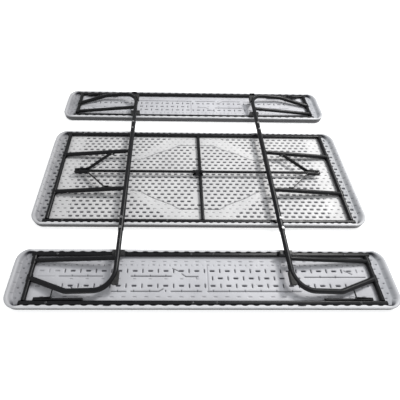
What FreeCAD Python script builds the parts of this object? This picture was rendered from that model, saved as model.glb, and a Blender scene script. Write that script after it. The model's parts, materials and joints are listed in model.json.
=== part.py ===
"""Folding picnic table with two attached benches, folded flat and lying with its undersides up.

Frame of the part: X runs along the table, Y across it, Z up.  The table's eating surface lies in Z = 0,
and so do both seats.  The near bench is at -Y, the far bench at +Y, the left end at -X.
"""
import FreeCAD, Part
import math
import os
import sys

import Sketcher

Vector = FreeCAD.Vector
Rotation = FreeCAD.Rotation
Placement = FreeCAD.Placement

# Distance or volume under which two things are taken as the same.
TOLERANCE = 0.01

# Driving dimensions in millimetres (angles in degrees, counts bare).
DIMENSIONS = {
    "table_length": 1830.0,
    "table_width": 700.0,
    "bench_length": 1838.0,
    "bench_width": 284.0,
    "bench_gap": 138.0,
    "panel_height": 44.0,
    "panel_skin": 23.0,
    "lip_width": 12.0,
    "table_corner": 72.0,
    "bench_corner": 62.0,
    "face_round": 13.0,
    "screw_pilot_depth": 9.0,
    "screw_tip_gap": 1.0,
    "rail_top": 42.0,
    "rail_wall": 1.5,
    "table_rail_width": 20.0,
    "table_rail_half_length": 845.0,
    "table_rail_offset": 324.0,
    "bench_rail_width": 20.0,
    "bench_rail_half_length": 845.0,
    "bench_rail_inset": 26.0,
    "hinge_distance": 826.0,
    "hinge_height": 37.0,
    "end_rail_radius": 11.0,
    "cross_distance": 414.0,
    "cross_height": 78.0,
    "ground_tube_radius": 14.0,
    "ground_tube_reach": 400.0,
    "arm_radius": 12.5,
    "arm_start": 320.0,
    "arm_bend_start": 600.0,
    "arm_bend_radius": 100.0,
    "arm_hinge_offset": 635.0,
    "arm_kink_distance": 187.0,
    "arm_kink_radius": 60.0,
    "strut_radius": 11.0,
    "strut_offset": 548.0,
    "tube_wall": 1.5,
    "sleeve_wall": 2.4,
    "sleeve_length": 34.0,
    "hinge_clearance": 0.1,
    "slip_clearance": 0.4,
    "seat_gap": 0.05,
    "cut_margin": 1.0,
    "upright_offset": 140.0,
    "upright_radius": 12.5,
    "upright_length": 385.0,
    "inner_tube_start": 30.0,
    "height_travel": 275.0,
    "button_distance": 80.0,
    "button_radius": 3.9,
    "button_stand": 2.0,
    "button_travel": 4.0,
    "button_seat": 2.0,
    "button_clearance": 0.3,
    "crossbar_width": 19.0,
    "crossbar_offset": 15.0,
    "bracket_length": 62.0,
    "bracket_width": 44.0,
    "bracket_plate": 3.0,
    "bracket_slot_gap": 2.0,
    "bracket_ear_half": 8.0,
    "bracket_ear_rise": 4.0,
    "pin_stand": 1.5,
    "rod_pivot_distance": 20.0,
    "rod_pivot_height": 54.3,
    "rod_radius": 8.0,
    "rod_eye_radius": 8.6,
    "rod_eye_half_width": 5.0,
    "pivot_pin_radius": 3.0,
    "brace_pivot_distance": 303.0,
    "brace_fold": 84.3,
    "strip_height": 21.0,
    "strip_thickness": 4.5,
    "strip_side_gap": 0.5,
    "strut_clearance": 0.8,
    "strip_tail": 33.0,
    "strip_apex": 44.0,
    "strip_lead": 12.0,
    "strip_bend": 13.0,
    "strip_bend_shift": 1.4,
    "bore_length": 20.0,
    "bolt_line_inner": 331.0,
    "bolt_line_outer": 389.0,
    "bolt_radius": 4.0,
    "bolt_clearance": 0.1,
    "bolt_slip": 0.2,
    "bolt_head_radius": 7.0,
    "bolt_head_height": 3.5,
    "pivot_head_height": 2.5,
    "pivot_side_gap": 0.4,
    "rivet_head_radius": 5.5,
    "rivet_head_height": 2.0,
    "tie_length": 8.0,
    "tie_thickness": 2.0,
    "tie_inset": 2.0,
    "stay_arm_distance": 126.0,
    "stay_rail_distance": 262.0,
    "stay_rail_height": 37.0,
    "stay_height": 14.0,
    "rail_link_width": 8.0,
    "arm_link_width": 3.0,
    "stay_gap": 0.6,
    "stay_stud_offset": 32.0,
    "saddle_length": 60.0,
    "saddle_width": 20.0,
    "saddle_top": 71.0,
    "clip_distance": 442.0,
    "clip_length": 34.0,
    "clip_width": 3.6,
    "clip_height": 14.0,
    "clip_stand": 6.0,
    "foot_length": 60.0,
    "foot_start": 616.0,
    "foot_inset": 10.0,
    "foot_width": 20.0,
    "foot_stand": 4.0,
    "screw_head_radius": 5.5,
    "screw_crown_radius": 3.0,
    "screw_head_height": 2.6,
    "screw_radius": 2.4,
    "screw_hole_radius": 2.5,
    "table_screw_outer": 740.0,
    "table_screw_inner": 180.0,
    "bench_screw_outer": 720.0,
    "bench_screw_inner": 55.0,
}

doc = FreeCAD.newDocument("folding_picnic_table")
sheet = doc.addObject("Spreadsheet::Sheet", "Dims")
for row, (alias, number) in enumerate(DIMENSIONS.items(), 1):
    sheet.set(f"A{row}", alias)
    sheet.set(f"B{row}", str(number))
    sheet.setAlias(f"B{row}", alias)
doc.recompute()


def dim(alias):
    """Value of a driving dimension, read back from the sheet."""
    return float(getattr(sheet, alias))


# Sub-parts in the order they are written, by node name.
nodes = {}


def keep(thing, name, placement=None):
    """Label an object as a sub-part and put it in place."""
    thing.Label = name
    if placement is not None:
        thing.Placement = placement
    nodes[name] = thing
    return thing


def bind(thing, **expressions):
    """Bind an object's properties to expressions on the sheet."""
    for name, expression in expressions.items():
        thing.setExpression(name, expression)
    return thing


# --- PartDesign helpers -------------------------------------------------------------------------

def new_body(name):
    """Empty PartDesign body."""
    return doc.addObject("PartDesign::Body", "Body_" + name)


def new_sketch(body, role, offset=None):
    """Sketch on one of the body's own origin planes, moved along the plane's normal by an expression."""
    sketch = body.newObject("Sketcher::SketchObject", "Sketch")
    plane = next(feature for feature in body.Origin.OriginFeatures if feature.Role == role)
    sketch.AttachmentSupport = [(plane, "")]
    sketch.MapMode = "FlatFace"
    if offset is not None:
        sketch.setExpression("AttachmentOffset.Base.z", offset)
    doc.recompute()
    return sketch


def evaluate(expression):
    """Number that an expression on the sheet gives."""
    value = sheet.evalExpression(expression.replace("Dims.", ""))
    return float(getattr(value, "Value", value))


def pin_point(sketch, geometry, position, x, y):
    """Fix a point of a sketch to two expressions."""
    for kind, expression in (("DistanceX", x), ("DistanceY", y)):
        where = sketch.getPoint(geometry, position)
        now = where.x if kind == "DistanceX" else where.y
        index = sketch.addConstraint(Sketcher.Constraint(kind, -1, 1, geometry, position, now))
        sketch.setExpression(f"Constraints[{index}]", expression)


def bind_radius(sketch, geometry, radius, expression):
    """Radius constraint of a circle or an arc, bound to an expression."""
    index = sketch.addConstraint(Sketcher.Constraint("Radius", geometry, radius))
    sketch.setExpression(f"Constraints[{index}]", expression)


def add_circle(sketch, x, y, radius):
    """Circle whose centre and radius are expressions."""
    centre = Vector(evaluate(x), evaluate(y), 0)
    circle = Part.Circle(centre, Vector(0, 0, 1), evaluate(radius))
    index = sketch.addGeometry(circle, False)
    pin_point(sketch, index, 3, x, y)
    bind_radius(sketch, index, evaluate(radius), radius)


def add_polygon(sketch, corners):
    """Closed polygon whose corners are pairs of expressions."""
    points = [Vector(evaluate(x), evaluate(y), 0) for x, y in corners]
    first = sketch.GeometryCount
    count = len(points)
    for index in range(count):
        sketch.addGeometry(Part.LineSegment(points[index], points[(index + 1) % count]), False)
    for index, (x, y) in enumerate(corners):
        pin_point(sketch, first + index, 1, x, y)
        following = first + (index + 1) % count
        sketch.addConstraint(Sketcher.Constraint("Coincident", first + index, 2, following, 1))


def add_rectangle(sketch, x0, x1, y0, y1):
    """Rectangle between two pairs of expressions."""
    add_polygon(sketch, [(x0, y0), (x1, y0), (x1, y1), (x0, y1)])


def add_rounded_rectangle(sketch, half_x, half_y, radius):
    """Rectangle centred on the origin with round corners, from three expressions."""
    flat_x = f"({half_x} - ({radius}))"
    flat_y = f"({half_y} - ({radius}))"
    sides = [
        ((f"-{flat_x}", f"-{half_y}"), (flat_x, f"-{half_y}")),
        ((half_x, f"-{flat_y}"), (half_x, flat_y)),
        ((flat_x, half_y), (f"-{flat_x}", half_y)),
        ((f"-{half_x}", flat_y), (f"-{half_x}", f"-{flat_y}")),
    ]
    for side in sides:
        ends = [Vector(evaluate(x), evaluate(y), 0) for x, y in side]
        index = sketch.addGeometry(Part.LineSegment(*ends), False)
        pin_point(sketch, index, 1, *side[0])
        pin_point(sketch, index, 2, *side[1])
    size = evaluate(radius)
    for corner, (sign_x, sign_y) in enumerate(((1, -1), (1, 1), (-1, 1), (-1, -1))):
        centre = Vector(sign_x * evaluate(flat_x), sign_y * evaluate(flat_y), 0)
        start = -math.pi / 2 + corner * math.pi / 2
        arc = Part.ArcOfCircle(Part.Circle(centre, Vector(0, 0, 1), size), start, start + math.pi / 2)
        index = sketch.addGeometry(arc, False)
        sketch.addConstraint(Sketcher.Constraint("Coincident", corner, 2, index, 1))
        sketch.addConstraint(Sketcher.Constraint("Coincident", (corner + 1) % 4, 1, index, 2))
        bind_radius(sketch, index, size, radius)


def pad(body, sketch, length, midplane=False, reverse=False):
    """Pad of a sketch by an expression."""
    feature = body.newObject("PartDesign::Pad", "Pad")
    feature.Profile = sketch
    feature.setExpression("Length", length)
    feature.Midplane = midplane
    feature.Reversed = reverse
    doc.recompute()
    return feature


def pocket(body, sketch, length, midplane=False, reverse=False):
    """Pocket of a sketch by an expression; stops if it takes nothing away."""
    before = body.Shape.Volume
    feature = body.newObject("PartDesign::Pocket", "Pocket")
    feature.Profile = sketch
    feature.setExpression("Length", length)
    feature.Midplane = midplane
    feature.Reversed = reverse
    doc.recompute()
    if body.Shape.Volume > before - TOLERANCE:
        sys.exit(f"pocket in {body.Name} cuts nothing")
    return feature


def round_edges(body, wanted, radius):
    """Fillet of the edges of the body's tip that the test picks."""
    tip = body.Tip
    names = [f"Edge{i}" for i, edge in enumerate(tip.Shape.Edges, 1) if wanted(edge)]
    feature = body.newObject("PartDesign::Fillet", "Fillet")
    feature.Base = (tip, names)
    feature.setExpression("Radius", radius)
    doc.recompute()
    return feature


# --- Panels -------------------------------------------------------------------------------------

def panel(name, length, width, corner, screws, rail_offsets, placement):
    """Moulded panel lying on its face: a skin, a raised lip all round and pilot holes for the screws."""
    body = new_body(name)
    outline = new_sketch(body, "XY_Plane")
    add_rounded_rectangle(outline, f"({length} / 2)", f"({width} / 2)", corner)
    pad(body, outline, "Dims.panel_height")
    round_edges(body, lambda edge: edge.BoundBox.ZMax < TOLERANCE, "Dims.face_round")
    recess = new_sketch(body, "XY_Plane", "Dims.panel_height")
    add_rounded_rectangle(recess, f"({length} / 2 - Dims.lip_width)", f"({width} / 2 - Dims.lip_width)",
                          f"({corner} - Dims.lip_width)")
    pocket(body, recess, "Dims.panel_height - Dims.panel_skin")

    pilots = new_sketch(body, "XY_Plane", "Dims.panel_skin")
    for across in rail_offsets:
        for along in screws:
            for sign in ("", "-"):
                add_circle(pilots, sign + along, across, "Dims.screw_hole_radius")
    pocket(body, pilots, "Dims.screw_pilot_depth")
    return keep(body, name, placement)


BENCH_MIDDLE = dim("table_width") / 2 + dim("bench_gap") + dim("bench_width") / 2
BENCHES = {"near": -1, "far": 1}
TABLE_SCREWS = ("Dims.table_screw_outer", "Dims.table_screw_inner")
BENCH_SCREWS = ("Dims.bench_screw_outer", "Dims.bench_screw_inner")


def bench_place(side):
    """Placement of a bench's own pieces, with its inner rail towards the table."""
    return Placement(Vector(0, side * BENCH_MIDDLE, 0), Rotation())


def make_panels():
    """Table top and the two seats."""
    table_rails = ("Dims.table_rail_offset", "-Dims.table_rail_offset")
    panel("table_top", "Dims.table_length", "Dims.table_width", "Dims.table_corner",
          TABLE_SCREWS, table_rails, Placement())
    seat_rail = "(Dims.bench_width / 2 - Dims.bench_rail_inset)"
    for bench, side in BENCHES.items():
        panel(f"{bench}_seat", "Dims.bench_length", "Dims.bench_width", "Dims.bench_corner",
              BENCH_SCREWS, (seat_rail, "-" + seat_rail), bench_place(side))


# --- Rails and hinge rails ----------------------------------------------------------------------

def rail(name, half_length, width, screws, placement):
    """Rectangular steel tube along X, standing on the panel skin, drilled for its screws."""
    body = new_body(name)
    section = new_sketch(body, "YZ_Plane")
    add_rectangle(section, f"-{width} / 2", f"{width} / 2", "Dims.panel_skin", "Dims.rail_top")
    inner = f"({width} / 2 - Dims.rail_wall)"
    add_rectangle(section, "-" + inner, inner,
                  "Dims.panel_skin + Dims.rail_wall", "Dims.rail_top - Dims.rail_wall")
    pad(body, section, f"2 * {half_length}", midplane=True)
    holes = new_sketch(body, "XY_Plane", "Dims.rail_top")
    for along in screws:
        for sign in ("", "-"):
            add_circle(holes, sign + along, "0", "Dims.screw_hole_radius")
    pocket(body, holes, "Dims.rail_top - Dims.panel_skin")
    return keep(body, name, placement)


def end_rail(x, y_low, y_high):
    """One round hinge rail along Y, as a hollow cylinder."""
    outer = bind(doc.addObject("Part::Cylinder", "RailOuter"), Radius="Dims.end_rail_radius")
    inner = bind(doc.addObject("Part::Cylinder", "RailInner"),
                 Radius="Dims.end_rail_radius - Dims.tube_wall")
    for cylinder in (outer, inner):
        cylinder.Height = y_high - y_low
        cylinder.Placement = Placement(Vector(x, y_low, dim("hinge_height")), Rotation(Vector(1, 0, 0), -90))
    tube = doc.addObject("Part::Cut", "RailTube")
    tube.Base = outer
    tube.Tool = inner
    return tube


def group(name, members, placement=None):
    """Several separate solids as one sub-part."""
    compound = doc.addObject("Part::Compound", "Group_" + name)
    compound.Links = members
    return keep(compound, name, placement)


def make_rails():
    """Side rails and the hinge rails between them."""
    for side_name, side in BENCHES.items():
        rail(f"table_rail_{side_name}", "Dims.table_rail_half_length", "Dims.table_rail_width",
             TABLE_SCREWS, Placement(Vector(0, side * dim("table_rail_offset"), 0), Rotation()))
    rail_line = dim("bench_width") / 2 - dim("bench_rail_inset")
    for bench, side in BENCHES.items():
        for where, offset in (("inner", -rail_line), ("outer", rail_line)):
            place = Placement(Vector(0, side * (BENCH_MIDDLE + offset), 0), Rotation())
            rail(f"{bench}_bench_{where}_rail", "Dims.bench_rail_half_length", "Dims.bench_rail_width",
                 BENCH_SCREWS, place)
    table_span = dim("table_rail_offset") - dim("table_rail_width") / 2
    for end, x in (("left", -dim("hinge_distance")), ("right", dim("hinge_distance"))):
        keep(end_rail(x, -table_span, table_span), f"table_end_rail_{end}")
    span = rail_line - dim("bench_rail_width") / 2
    for bench, side in BENCHES.items():
        middle = side * BENCH_MIDDLE
        group(f"{bench}_bench_end_rails",
              [end_rail(x, middle - span, middle + span) for x in (-dim("hinge_distance"),
                                                                   dim("hinge_distance"))])


# --- Screws -------------------------------------------------------------------------------------

def screw(x, y):
    """Pan-head screw through a rail into the panel below it."""
    head = bind(doc.addObject("Part::Cone", "ScrewHead"), Radius1="Dims.screw_head_radius",
                Radius2="Dims.screw_crown_radius", Height="Dims.screw_head_height")
    head.Placement = Placement(Vector(x, y, dim("rail_top")), Rotation())
    bottom = "(Dims.panel_skin - Dims.screw_pilot_depth + Dims.screw_tip_gap)"
    shank = bind(doc.addObject("Part::Cylinder", "ScrewShank"), Radius="Dims.screw_radius",
                 Height=f"Dims.rail_top - {bottom}")
    shank.Placement = Placement(Vector(x, y, evaluate(bottom)), Rotation())
    whole = doc.addObject("Part::Fuse", "Screw")
    whole.Base = head
    whole.Tool = shank
    return whole


def make_screws():
    """Screws of the table's rails and of each bench's rails."""
    table_x = [sign * dim(name) for name in ("table_screw_outer", "table_screw_inner") for sign in (-1, 1)]
    bench_x = [sign * dim(name) for name in ("bench_screw_outer", "bench_screw_inner") for sign in (-1, 1)]
    group("table_rail_screws", [screw(x, y * dim("table_rail_offset")) for x in table_x for y in (-1, 1)])
    rail_line = dim("bench_width") / 2 - dim("bench_rail_inset")
    for bench, side in BENCHES.items():
        lines = [side * BENCH_MIDDLE + offset for offset in (-rail_line, rail_line)]
        group(f"{bench}_bench_screws", [screw(x, y) for x in bench_x for y in lines])


# --- Centre of the table: crossbar and brace bracket --------------------------------------------

def make_centre():
    """Crossbar between the side rails, and the bracket that carries both brace rods."""
    body = new_body("crossbar")
    section = new_sketch(body, "XZ_Plane")
    half = "Dims.crossbar_width / 2"
    add_rectangle(section, "-" + half, half, "Dims.panel_skin", "Dims.rail_top")
    inner = "(Dims.crossbar_width / 2 - Dims.rail_wall)"
    add_rectangle(section, "-" + inner, inner,
                  "Dims.panel_skin + Dims.rail_wall", "Dims.rail_top - Dims.rail_wall")
    pad(body, section, "2 * (Dims.table_rail_offset - Dims.table_rail_width / 2)", midplane=True)
    keep(body, "table_crossbar", Placement(Vector(dim("crossbar_offset"), 0, 0), Rotation()))

    bracket = new_body("bracket")
    plate = new_sketch(bracket, "XY_Plane", "Dims.rail_top")
    add_rectangle(plate, "-Dims.bracket_length / 2", "Dims.bracket_length / 2",
                  "-Dims.bracket_width / 2", "Dims.bracket_width / 2")
    pad(bracket, plate, "Dims.bracket_plate")
    slot = new_sketch(bracket, "XY_Plane", "Dims.rail_top + Dims.bracket_plate")
    for sign in ("", "-"):
        lip = f"{sign}(Dims.crossbar_width / 2 + Dims.cut_margin)"
        far = f"{sign}(Dims.bracket_length / 2 + Dims.cut_margin)"
        low, high = (lip, far) if sign == "" else (far, lip)
        add_rectangle(slot, low, high, "-(Dims.rod_radius + Dims.bracket_slot_gap)",
                      "Dims.rod_radius + Dims.bracket_slot_gap")
    pocket(bracket, slot, "Dims.bracket_plate + Dims.cut_margin")
    ears = new_sketch(bracket, "XY_Plane", "Dims.rail_top + Dims.bracket_plate")
    ear_low = "(Dims.rod_radius + Dims.slip_clearance)"
    for across in ("", "-"):
        for along in ("", "-"):
            near_x = f"{along}(Dims.rod_pivot_distance - Dims.bracket_ear_half)"
            far_x = f"{along}(Dims.rod_pivot_distance + Dims.bracket_ear_half)"
            near_y = f"{across}{ear_low}"
            far_y = f"{across}({ear_low} + Dims.bracket_plate)"
            add_polygon(ears, [(near_x, near_y), (far_x, near_y), (far_x, far_y), (near_x, far_y)])
    pad(bracket, ears,
        "Dims.rod_pivot_height + Dims.bracket_ear_rise - Dims.rail_top - Dims.bracket_plate")
    pins = new_sketch(bracket, "XZ_Plane")
    for along in ("", "-"):
        add_circle(pins, f"{along}Dims.rod_pivot_distance", "Dims.rod_pivot_height",
                   "Dims.pivot_pin_radius")
    pad(bracket, pins, f"2 * ({ear_low} + Dims.bracket_plate + Dims.pin_stand)", midplane=True)
    keep(bracket, "brace_bracket")


# --- End frames ---------------------------------------------------------------------------------

RISE = dim("cross_height") - dim("hinge_height")
RUN = dim("hinge_distance") - dim("cross_distance")
TILT = math.degrees(math.atan2(RISE, RUN))
REACH = "sqrt((Dims.hinge_distance - Dims.cross_distance) ^ 2" \
        " + (Dims.cross_height - Dims.hinge_height) ^ 2)"
ENDS = {"left": 0.0, "right": 180.0}
BOLT_LINES = ("Dims.bolt_line_inner", "Dims.bolt_line_outer")


def end_place(turn):
    """Placement of an end frame's pieces.

    Their own origin is on the hinge axis, their X runs up the frame towards the ground tube.
    """
    about_z = Rotation(Vector(0, 0, 1), turn)
    tilt = Rotation(Vector(0, 1, 0), -TILT)
    side = -1 if turn == 0.0 else 1
    return Placement(Vector(side * dim("hinge_distance"), 0, dim("hinge_height")), about_z * tilt)


def sign_of(turn, side):
    """Direction of a bench or table side in an end frame's own Y."""
    return side if turn == 0.0 else -side


def signed(sign, expression):
    """Expression with a sign."""
    return expression if sign > 0 else f"-({expression})"


def add_sleeve(body, offset):
    """Hinge sleeve round the origin's Y axis, centred on an offset."""
    collar = new_sketch(body, "XZ_Plane", f"-({offset})")
    add_circle(collar, "0", "0", "Dims.end_rail_radius + Dims.hinge_clearance + Dims.sleeve_wall")
    pad(body, collar, "Dims.sleeve_length", midplane=True)


def bore_sleeve(body, offset):
    """Bore of a hinge sleeve, through whatever meets it."""
    bore = new_sketch(body, "XZ_Plane", f"-({offset})")
    add_circle(bore, "0", "0", "Dims.end_rail_radius + Dims.hinge_clearance")
    pocket(body, bore, "3 * Dims.sleeve_length", midplane=True)


def cope(body, offset, radius):
    """Round notch where a tube meets the cross tube."""
    notch = new_sketch(body, "XZ_Plane", f"-({offset})")
    add_circle(notch, REACH, "0", radius)
    pocket(body, notch, "3 * Dims.sleeve_length", midplane=True)


def straight_tube(body, offset, radius, start, end):
    """Hollow round tube along the body's X at an offset in Y."""
    section = new_sketch(body, "YZ_Plane", start)
    add_circle(section, offset, "0", radius)
    add_circle(section, offset, "0", f"{radius} - Dims.tube_wall")
    pad(body, section, f"({end}) - ({start})")


def ground_tube(name, turn):
    """Wide middle length of the cross tube, which meets the floor in use."""
    outer = bind(doc.addObject("Part::Cylinder", "GroundOuter"), Radius="Dims.ground_tube_radius",
                 Height="2 * Dims.ground_tube_reach")
    inner = bind(doc.addObject("Part::Cylinder", "GroundInner"),
                 Radius="Dims.ground_tube_radius - Dims.tube_wall", Height="2 * Dims.ground_tube_reach")
    for cylinder in (outer, inner):
        cylinder.Placement = Placement(Vector(evaluate(REACH), -dim("ground_tube_reach"), 0),
                                       Rotation(Vector(1, 0, 0), -90))
    tube = doc.addObject("Part::Cut", "GroundTube")
    tube.Base = outer
    tube.Tool = inner
    drilled = tube
    for across in (-1, 1):
        for bolt_line in BOLT_LINES:
            hole = bind(doc.addObject("Part::Cylinder", "BoltHole"),
                        Radius="Dims.bolt_radius + Dims.bolt_clearance",
                        Height="3 * Dims.ground_tube_radius")
            where = Vector(evaluate(REACH), across * evaluate(bolt_line), -1.5 * dim("ground_tube_radius"))
            hole.Placement = Placement(where, Rotation())
            cut = doc.addObject("Part::Cut", "Drilled")
            cut.Base = drilled
            cut.Tool = hole
            drilled = cut
    return keep(drilled, name, end_place(turn))


def bench_arm(name, turn, side):
    """Bent tube from the ground tube round to the middle of a bench's hinge rail."""
    sign = sign_of(turn, side)
    body = new_body(name)
    turn_angle = "atan((Dims.arm_bend_start + Dims.arm_bend_radius - Dims.arm_hinge_offset)" \
                 " / Dims.arm_kink_distance)"
    straight = "(Dims.arm_bend_start + Dims.arm_bend_radius)"
    tangent = f"Dims.arm_kink_radius * tan({turn_angle} / 2)"
    corners = [
        (REACH, signed(sign, "Dims.arm_start")),
        (REACH, signed(sign, "Dims.arm_bend_start")),
        (f"{REACH} - Dims.arm_bend_radius", signed(sign, straight)),
        (f"Dims.arm_kink_distance + {tangent}", signed(sign, straight)),
        (f"Dims.arm_kink_distance - {tangent} * cos({turn_angle})",
         signed(sign, f"{straight} - {tangent} * sin({turn_angle})")),
        ("0", signed(sign, "Dims.arm_hinge_offset")),
    ]
    points = [Vector(evaluate(x), evaluate(y), 0) for x, y in corners]
    path = new_sketch(body, "XY_Plane")
    bend = dim("arm_bend_radius")
    kink = dim("arm_kink_radius")
    bend_centre = Vector(points[1].x - bend, points[1].y, 0)
    kink_centre = Vector(points[3].x, points[3].y - sign * kink, 0)

    def arc(centre, radius, start, end):
        middle = (start + end) * 0.5 - centre
        middle.normalize()
        return Part.Arc(start, centre + middle * radius, end)

    pieces = [
        Part.LineSegment(points[0], points[1]),
        arc(bend_centre, bend, points[1], points[2]),
        Part.LineSegment(points[2], points[3]),
        arc(kink_centre, kink, points[3], points[4]),
        Part.LineSegment(points[4], points[5]),
    ]
    for piece in pieces:
        path.addGeometry(piece, False)
    for geometry, first in ((0, 0), (2, 2), (4, 4)):
        pin_point(path, geometry, 1, *corners[first])
        pin_point(path, geometry, 2, *corners[first + 1])
    for geometry, radius, alias in ((1, bend, "Dims.arm_bend_radius"), (3, kink, "Dims.arm_kink_radius")):
        for neighbour, end in ((geometry - 1, 2), (geometry + 1, 1)):
            near = points[geometry] if end == 2 else points[geometry + 1]
            own = 1 if path.getPoint(geometry, 1).distanceToPoint(near) < TOLERANCE else 2
            path.addConstraint(Sketcher.Constraint("Coincident", neighbour, end, geometry, own))
        bind_radius(path, geometry, radius, alias)
    profile = new_sketch(body, "XZ_Plane", signed(-sign, "Dims.arm_start"))
    add_circle(profile, REACH, "0", "Dims.arm_radius - Dims.hinge_clearance / 2")
    add_circle(profile, REACH, "0", "Dims.arm_radius - Dims.tube_wall")
    pipe = body.newObject("PartDesign::AdditivePipe", "Pipe")
    pipe.Profile = profile
    pipe.Spine = (path, [f"Edge{i}" for i in range(1, 6)])
    doc.recompute()
    hinge = signed(sign, "Dims.arm_hinge_offset")
    add_sleeve(body, hinge)
    bore_sleeve(body, hinge)
    holes = new_sketch(body, "XY_Plane")
    for bolt_line in BOLT_LINES:
        add_circle(holes, REACH, signed(sign, bolt_line), "Dims.bolt_radius + Dims.bolt_clearance")
    pocket(body, holes, "3 * Dims.arm_radius", midplane=True)
    stud = new_sketch(body, "XZ_Plane", f"-({signed(sign, STAY_STUD_START)})")
    add_circle(stud, "Dims.stay_arm_distance", "0", "Dims.pivot_pin_radius")
    pad(body, stud, STAY_STUD_LENGTH, reverse=sign > 0)
    return keep(body, name, end_place(turn))


# Side planes of the bench stays, measured in Y from the table's centre line.
RAIL_FACE = "(Dims.table_width / 2 + Dims.bench_gap + Dims.bench_width" \
            " - Dims.bench_rail_inset - Dims.bench_rail_width / 2)"
STAY_RAIL_FACE = f"({RAIL_FACE} - Dims.stay_gap)"
STAY_ARM_FACE = f"({RAIL_FACE} - 2 * Dims.stay_gap - Dims.rail_link_width)"
STAY_STUD_START = "(Dims.arm_hinge_offset + Dims.stay_stud_offset)"
STAY_STUD_LENGTH = f"{STAY_ARM_FACE} - {STAY_STUD_START} - Dims.hinge_clearance"


def bench_strut(body_name, turn, side):
    """Straight tube beside a bench's inner rail, from its hinge rail to the arm."""
    sign = sign_of(turn, side)
    body = new_body(body_name)
    offset = signed(sign, "Dims.strut_offset")
    straight_tube(body, offset, "Dims.strut_radius", "0", REACH)
    add_sleeve(body, offset)
    bore_sleeve(body, offset)
    cope(body, offset, "Dims.arm_radius")
    body.Placement = end_place(turn)
    return body


def upright(body_name, turn, side):
    """Outer tube of a table upright, hinged on the table's hinge rail."""
    sign = sign_of(turn, side)
    body = new_body(body_name)
    offset = signed(sign, "Dims.upright_offset")
    straight_tube(body, offset, "Dims.upright_radius", "0", "Dims.upright_length")
    add_sleeve(body, offset)
    bore_sleeve(body, offset)
    holes = new_sketch(body, "XZ_Plane", f"-({offset})")
    for where in ("Dims.button_distance", "Dims.button_distance + Dims.height_travel"):
        add_circle(holes, where, "0", "Dims.button_radius + Dims.button_clearance")
    pocket(body, holes, "Dims.upright_radius + Dims.cut_margin", reverse=sign < 0)
    body.Placement = end_place(turn)
    return body


def inner_tube(body_name, turn, side):
    """Inner tube of a table upright, fixed to the ground tube and sliding in the outer tube."""
    sign = sign_of(turn, side)
    body = new_body(body_name)
    offset = signed(sign, "Dims.upright_offset")
    radius = "(Dims.upright_radius - Dims.tube_wall - Dims.slip_clearance)"
    straight_tube(body, offset, radius, "Dims.inner_tube_start", REACH)
    cope(body, offset, "Dims.ground_tube_radius")
    hole = new_sketch(body, "XZ_Plane", f"-({offset})")
    add_circle(hole, "Dims.button_distance", "0", "Dims.button_radius + Dims.button_clearance")
    pocket(body, hole, "Dims.upright_radius + Dims.cut_margin", reverse=sign < 0)
    body.Placement = end_place(turn)
    return body


def snap_button(name, turn, side):
    """Spring button that stands out through the holes of both tubes."""
    sign = sign_of(turn, side)
    body = new_body(name)
    stem = new_sketch(body, "XZ_Plane", signed(-sign, "Dims.upright_offset + Dims.button_seat"))
    add_circle(stem, "Dims.button_distance", "0", "Dims.button_radius")
    pad(body, stem, "Dims.upright_radius + Dims.button_stand - Dims.button_seat", reverse=sign > 0)
    tip_line = dim("upright_offset") + dim("upright_radius") + dim("button_stand")
    round_edges(body, lambda edge: abs(abs(edge.CenterOfMass.y) - tip_line) < TOLERANCE,
                "Dims.button_radius / 2")
    return keep(body, name, end_place(turn))


def bolt(x, y, low, high):
    """Cross bolt along the body's Z with a head on top and a nut below."""
    parts = []
    shank = bind(doc.addObject("Part::Cylinder", "BoltShank"),
                 Radius="Dims.bolt_radius - Dims.bolt_slip")
    shank.Height = high - low
    shank.Placement = Placement(Vector(x, y, low), Rotation())
    parts.append(shank)
    head = bind(doc.addObject("Part::Cylinder", "BoltHead"), Radius="Dims.bolt_head_radius",
                Height="Dims.bolt_head_height")
    head.Placement = Placement(Vector(x, y, high), Rotation())
    parts.append(head)
    nut = doc.addObject("Part::Prism", "BoltNut")
    nut.Polygon = 6
    bind(nut, Circumradius="Dims.bolt_head_radius", Height="Dims.bolt_head_height")
    nut.Placement = Placement(Vector(x, y, low - dim("bolt_head_height")), Rotation())
    parts.append(nut)
    whole = doc.addObject("Part::MultiFuse", "Bolt")
    whole.Shapes = parts
    return whole


def foot_pad(body_name, turn, side):
    """Shoe in the outer corner of an arm's bend, which stands on the floor in use."""
    sign = sign_of(turn, side)
    body = new_body(body_name)
    block = new_sketch(body, "XY_Plane")
    low = signed(sign, "Dims.foot_start")
    high = signed(sign, "Dims.foot_start + Dims.foot_length")
    outer = f"({REACH} + Dims.arm_radius + Dims.foot_stand)"
    inner = f"({REACH} - Dims.foot_inset)"
    add_polygon(block, [(inner, low), (outer, low), (outer, high), (inner, high)])
    pad(body, block, "Dims.foot_width", midplane=True)
    relief = new_sketch(body, "XY_Plane")
    add_circle(relief, f"{REACH} - Dims.arm_bend_radius", signed(sign, "Dims.arm_bend_start"),
               "Dims.arm_bend_radius + Dims.arm_radius + Dims.hinge_clearance")
    pocket(body, relief, "2 * Dims.foot_width", midplane=True)
    body.Placement = end_place(turn)
    return body


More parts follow.
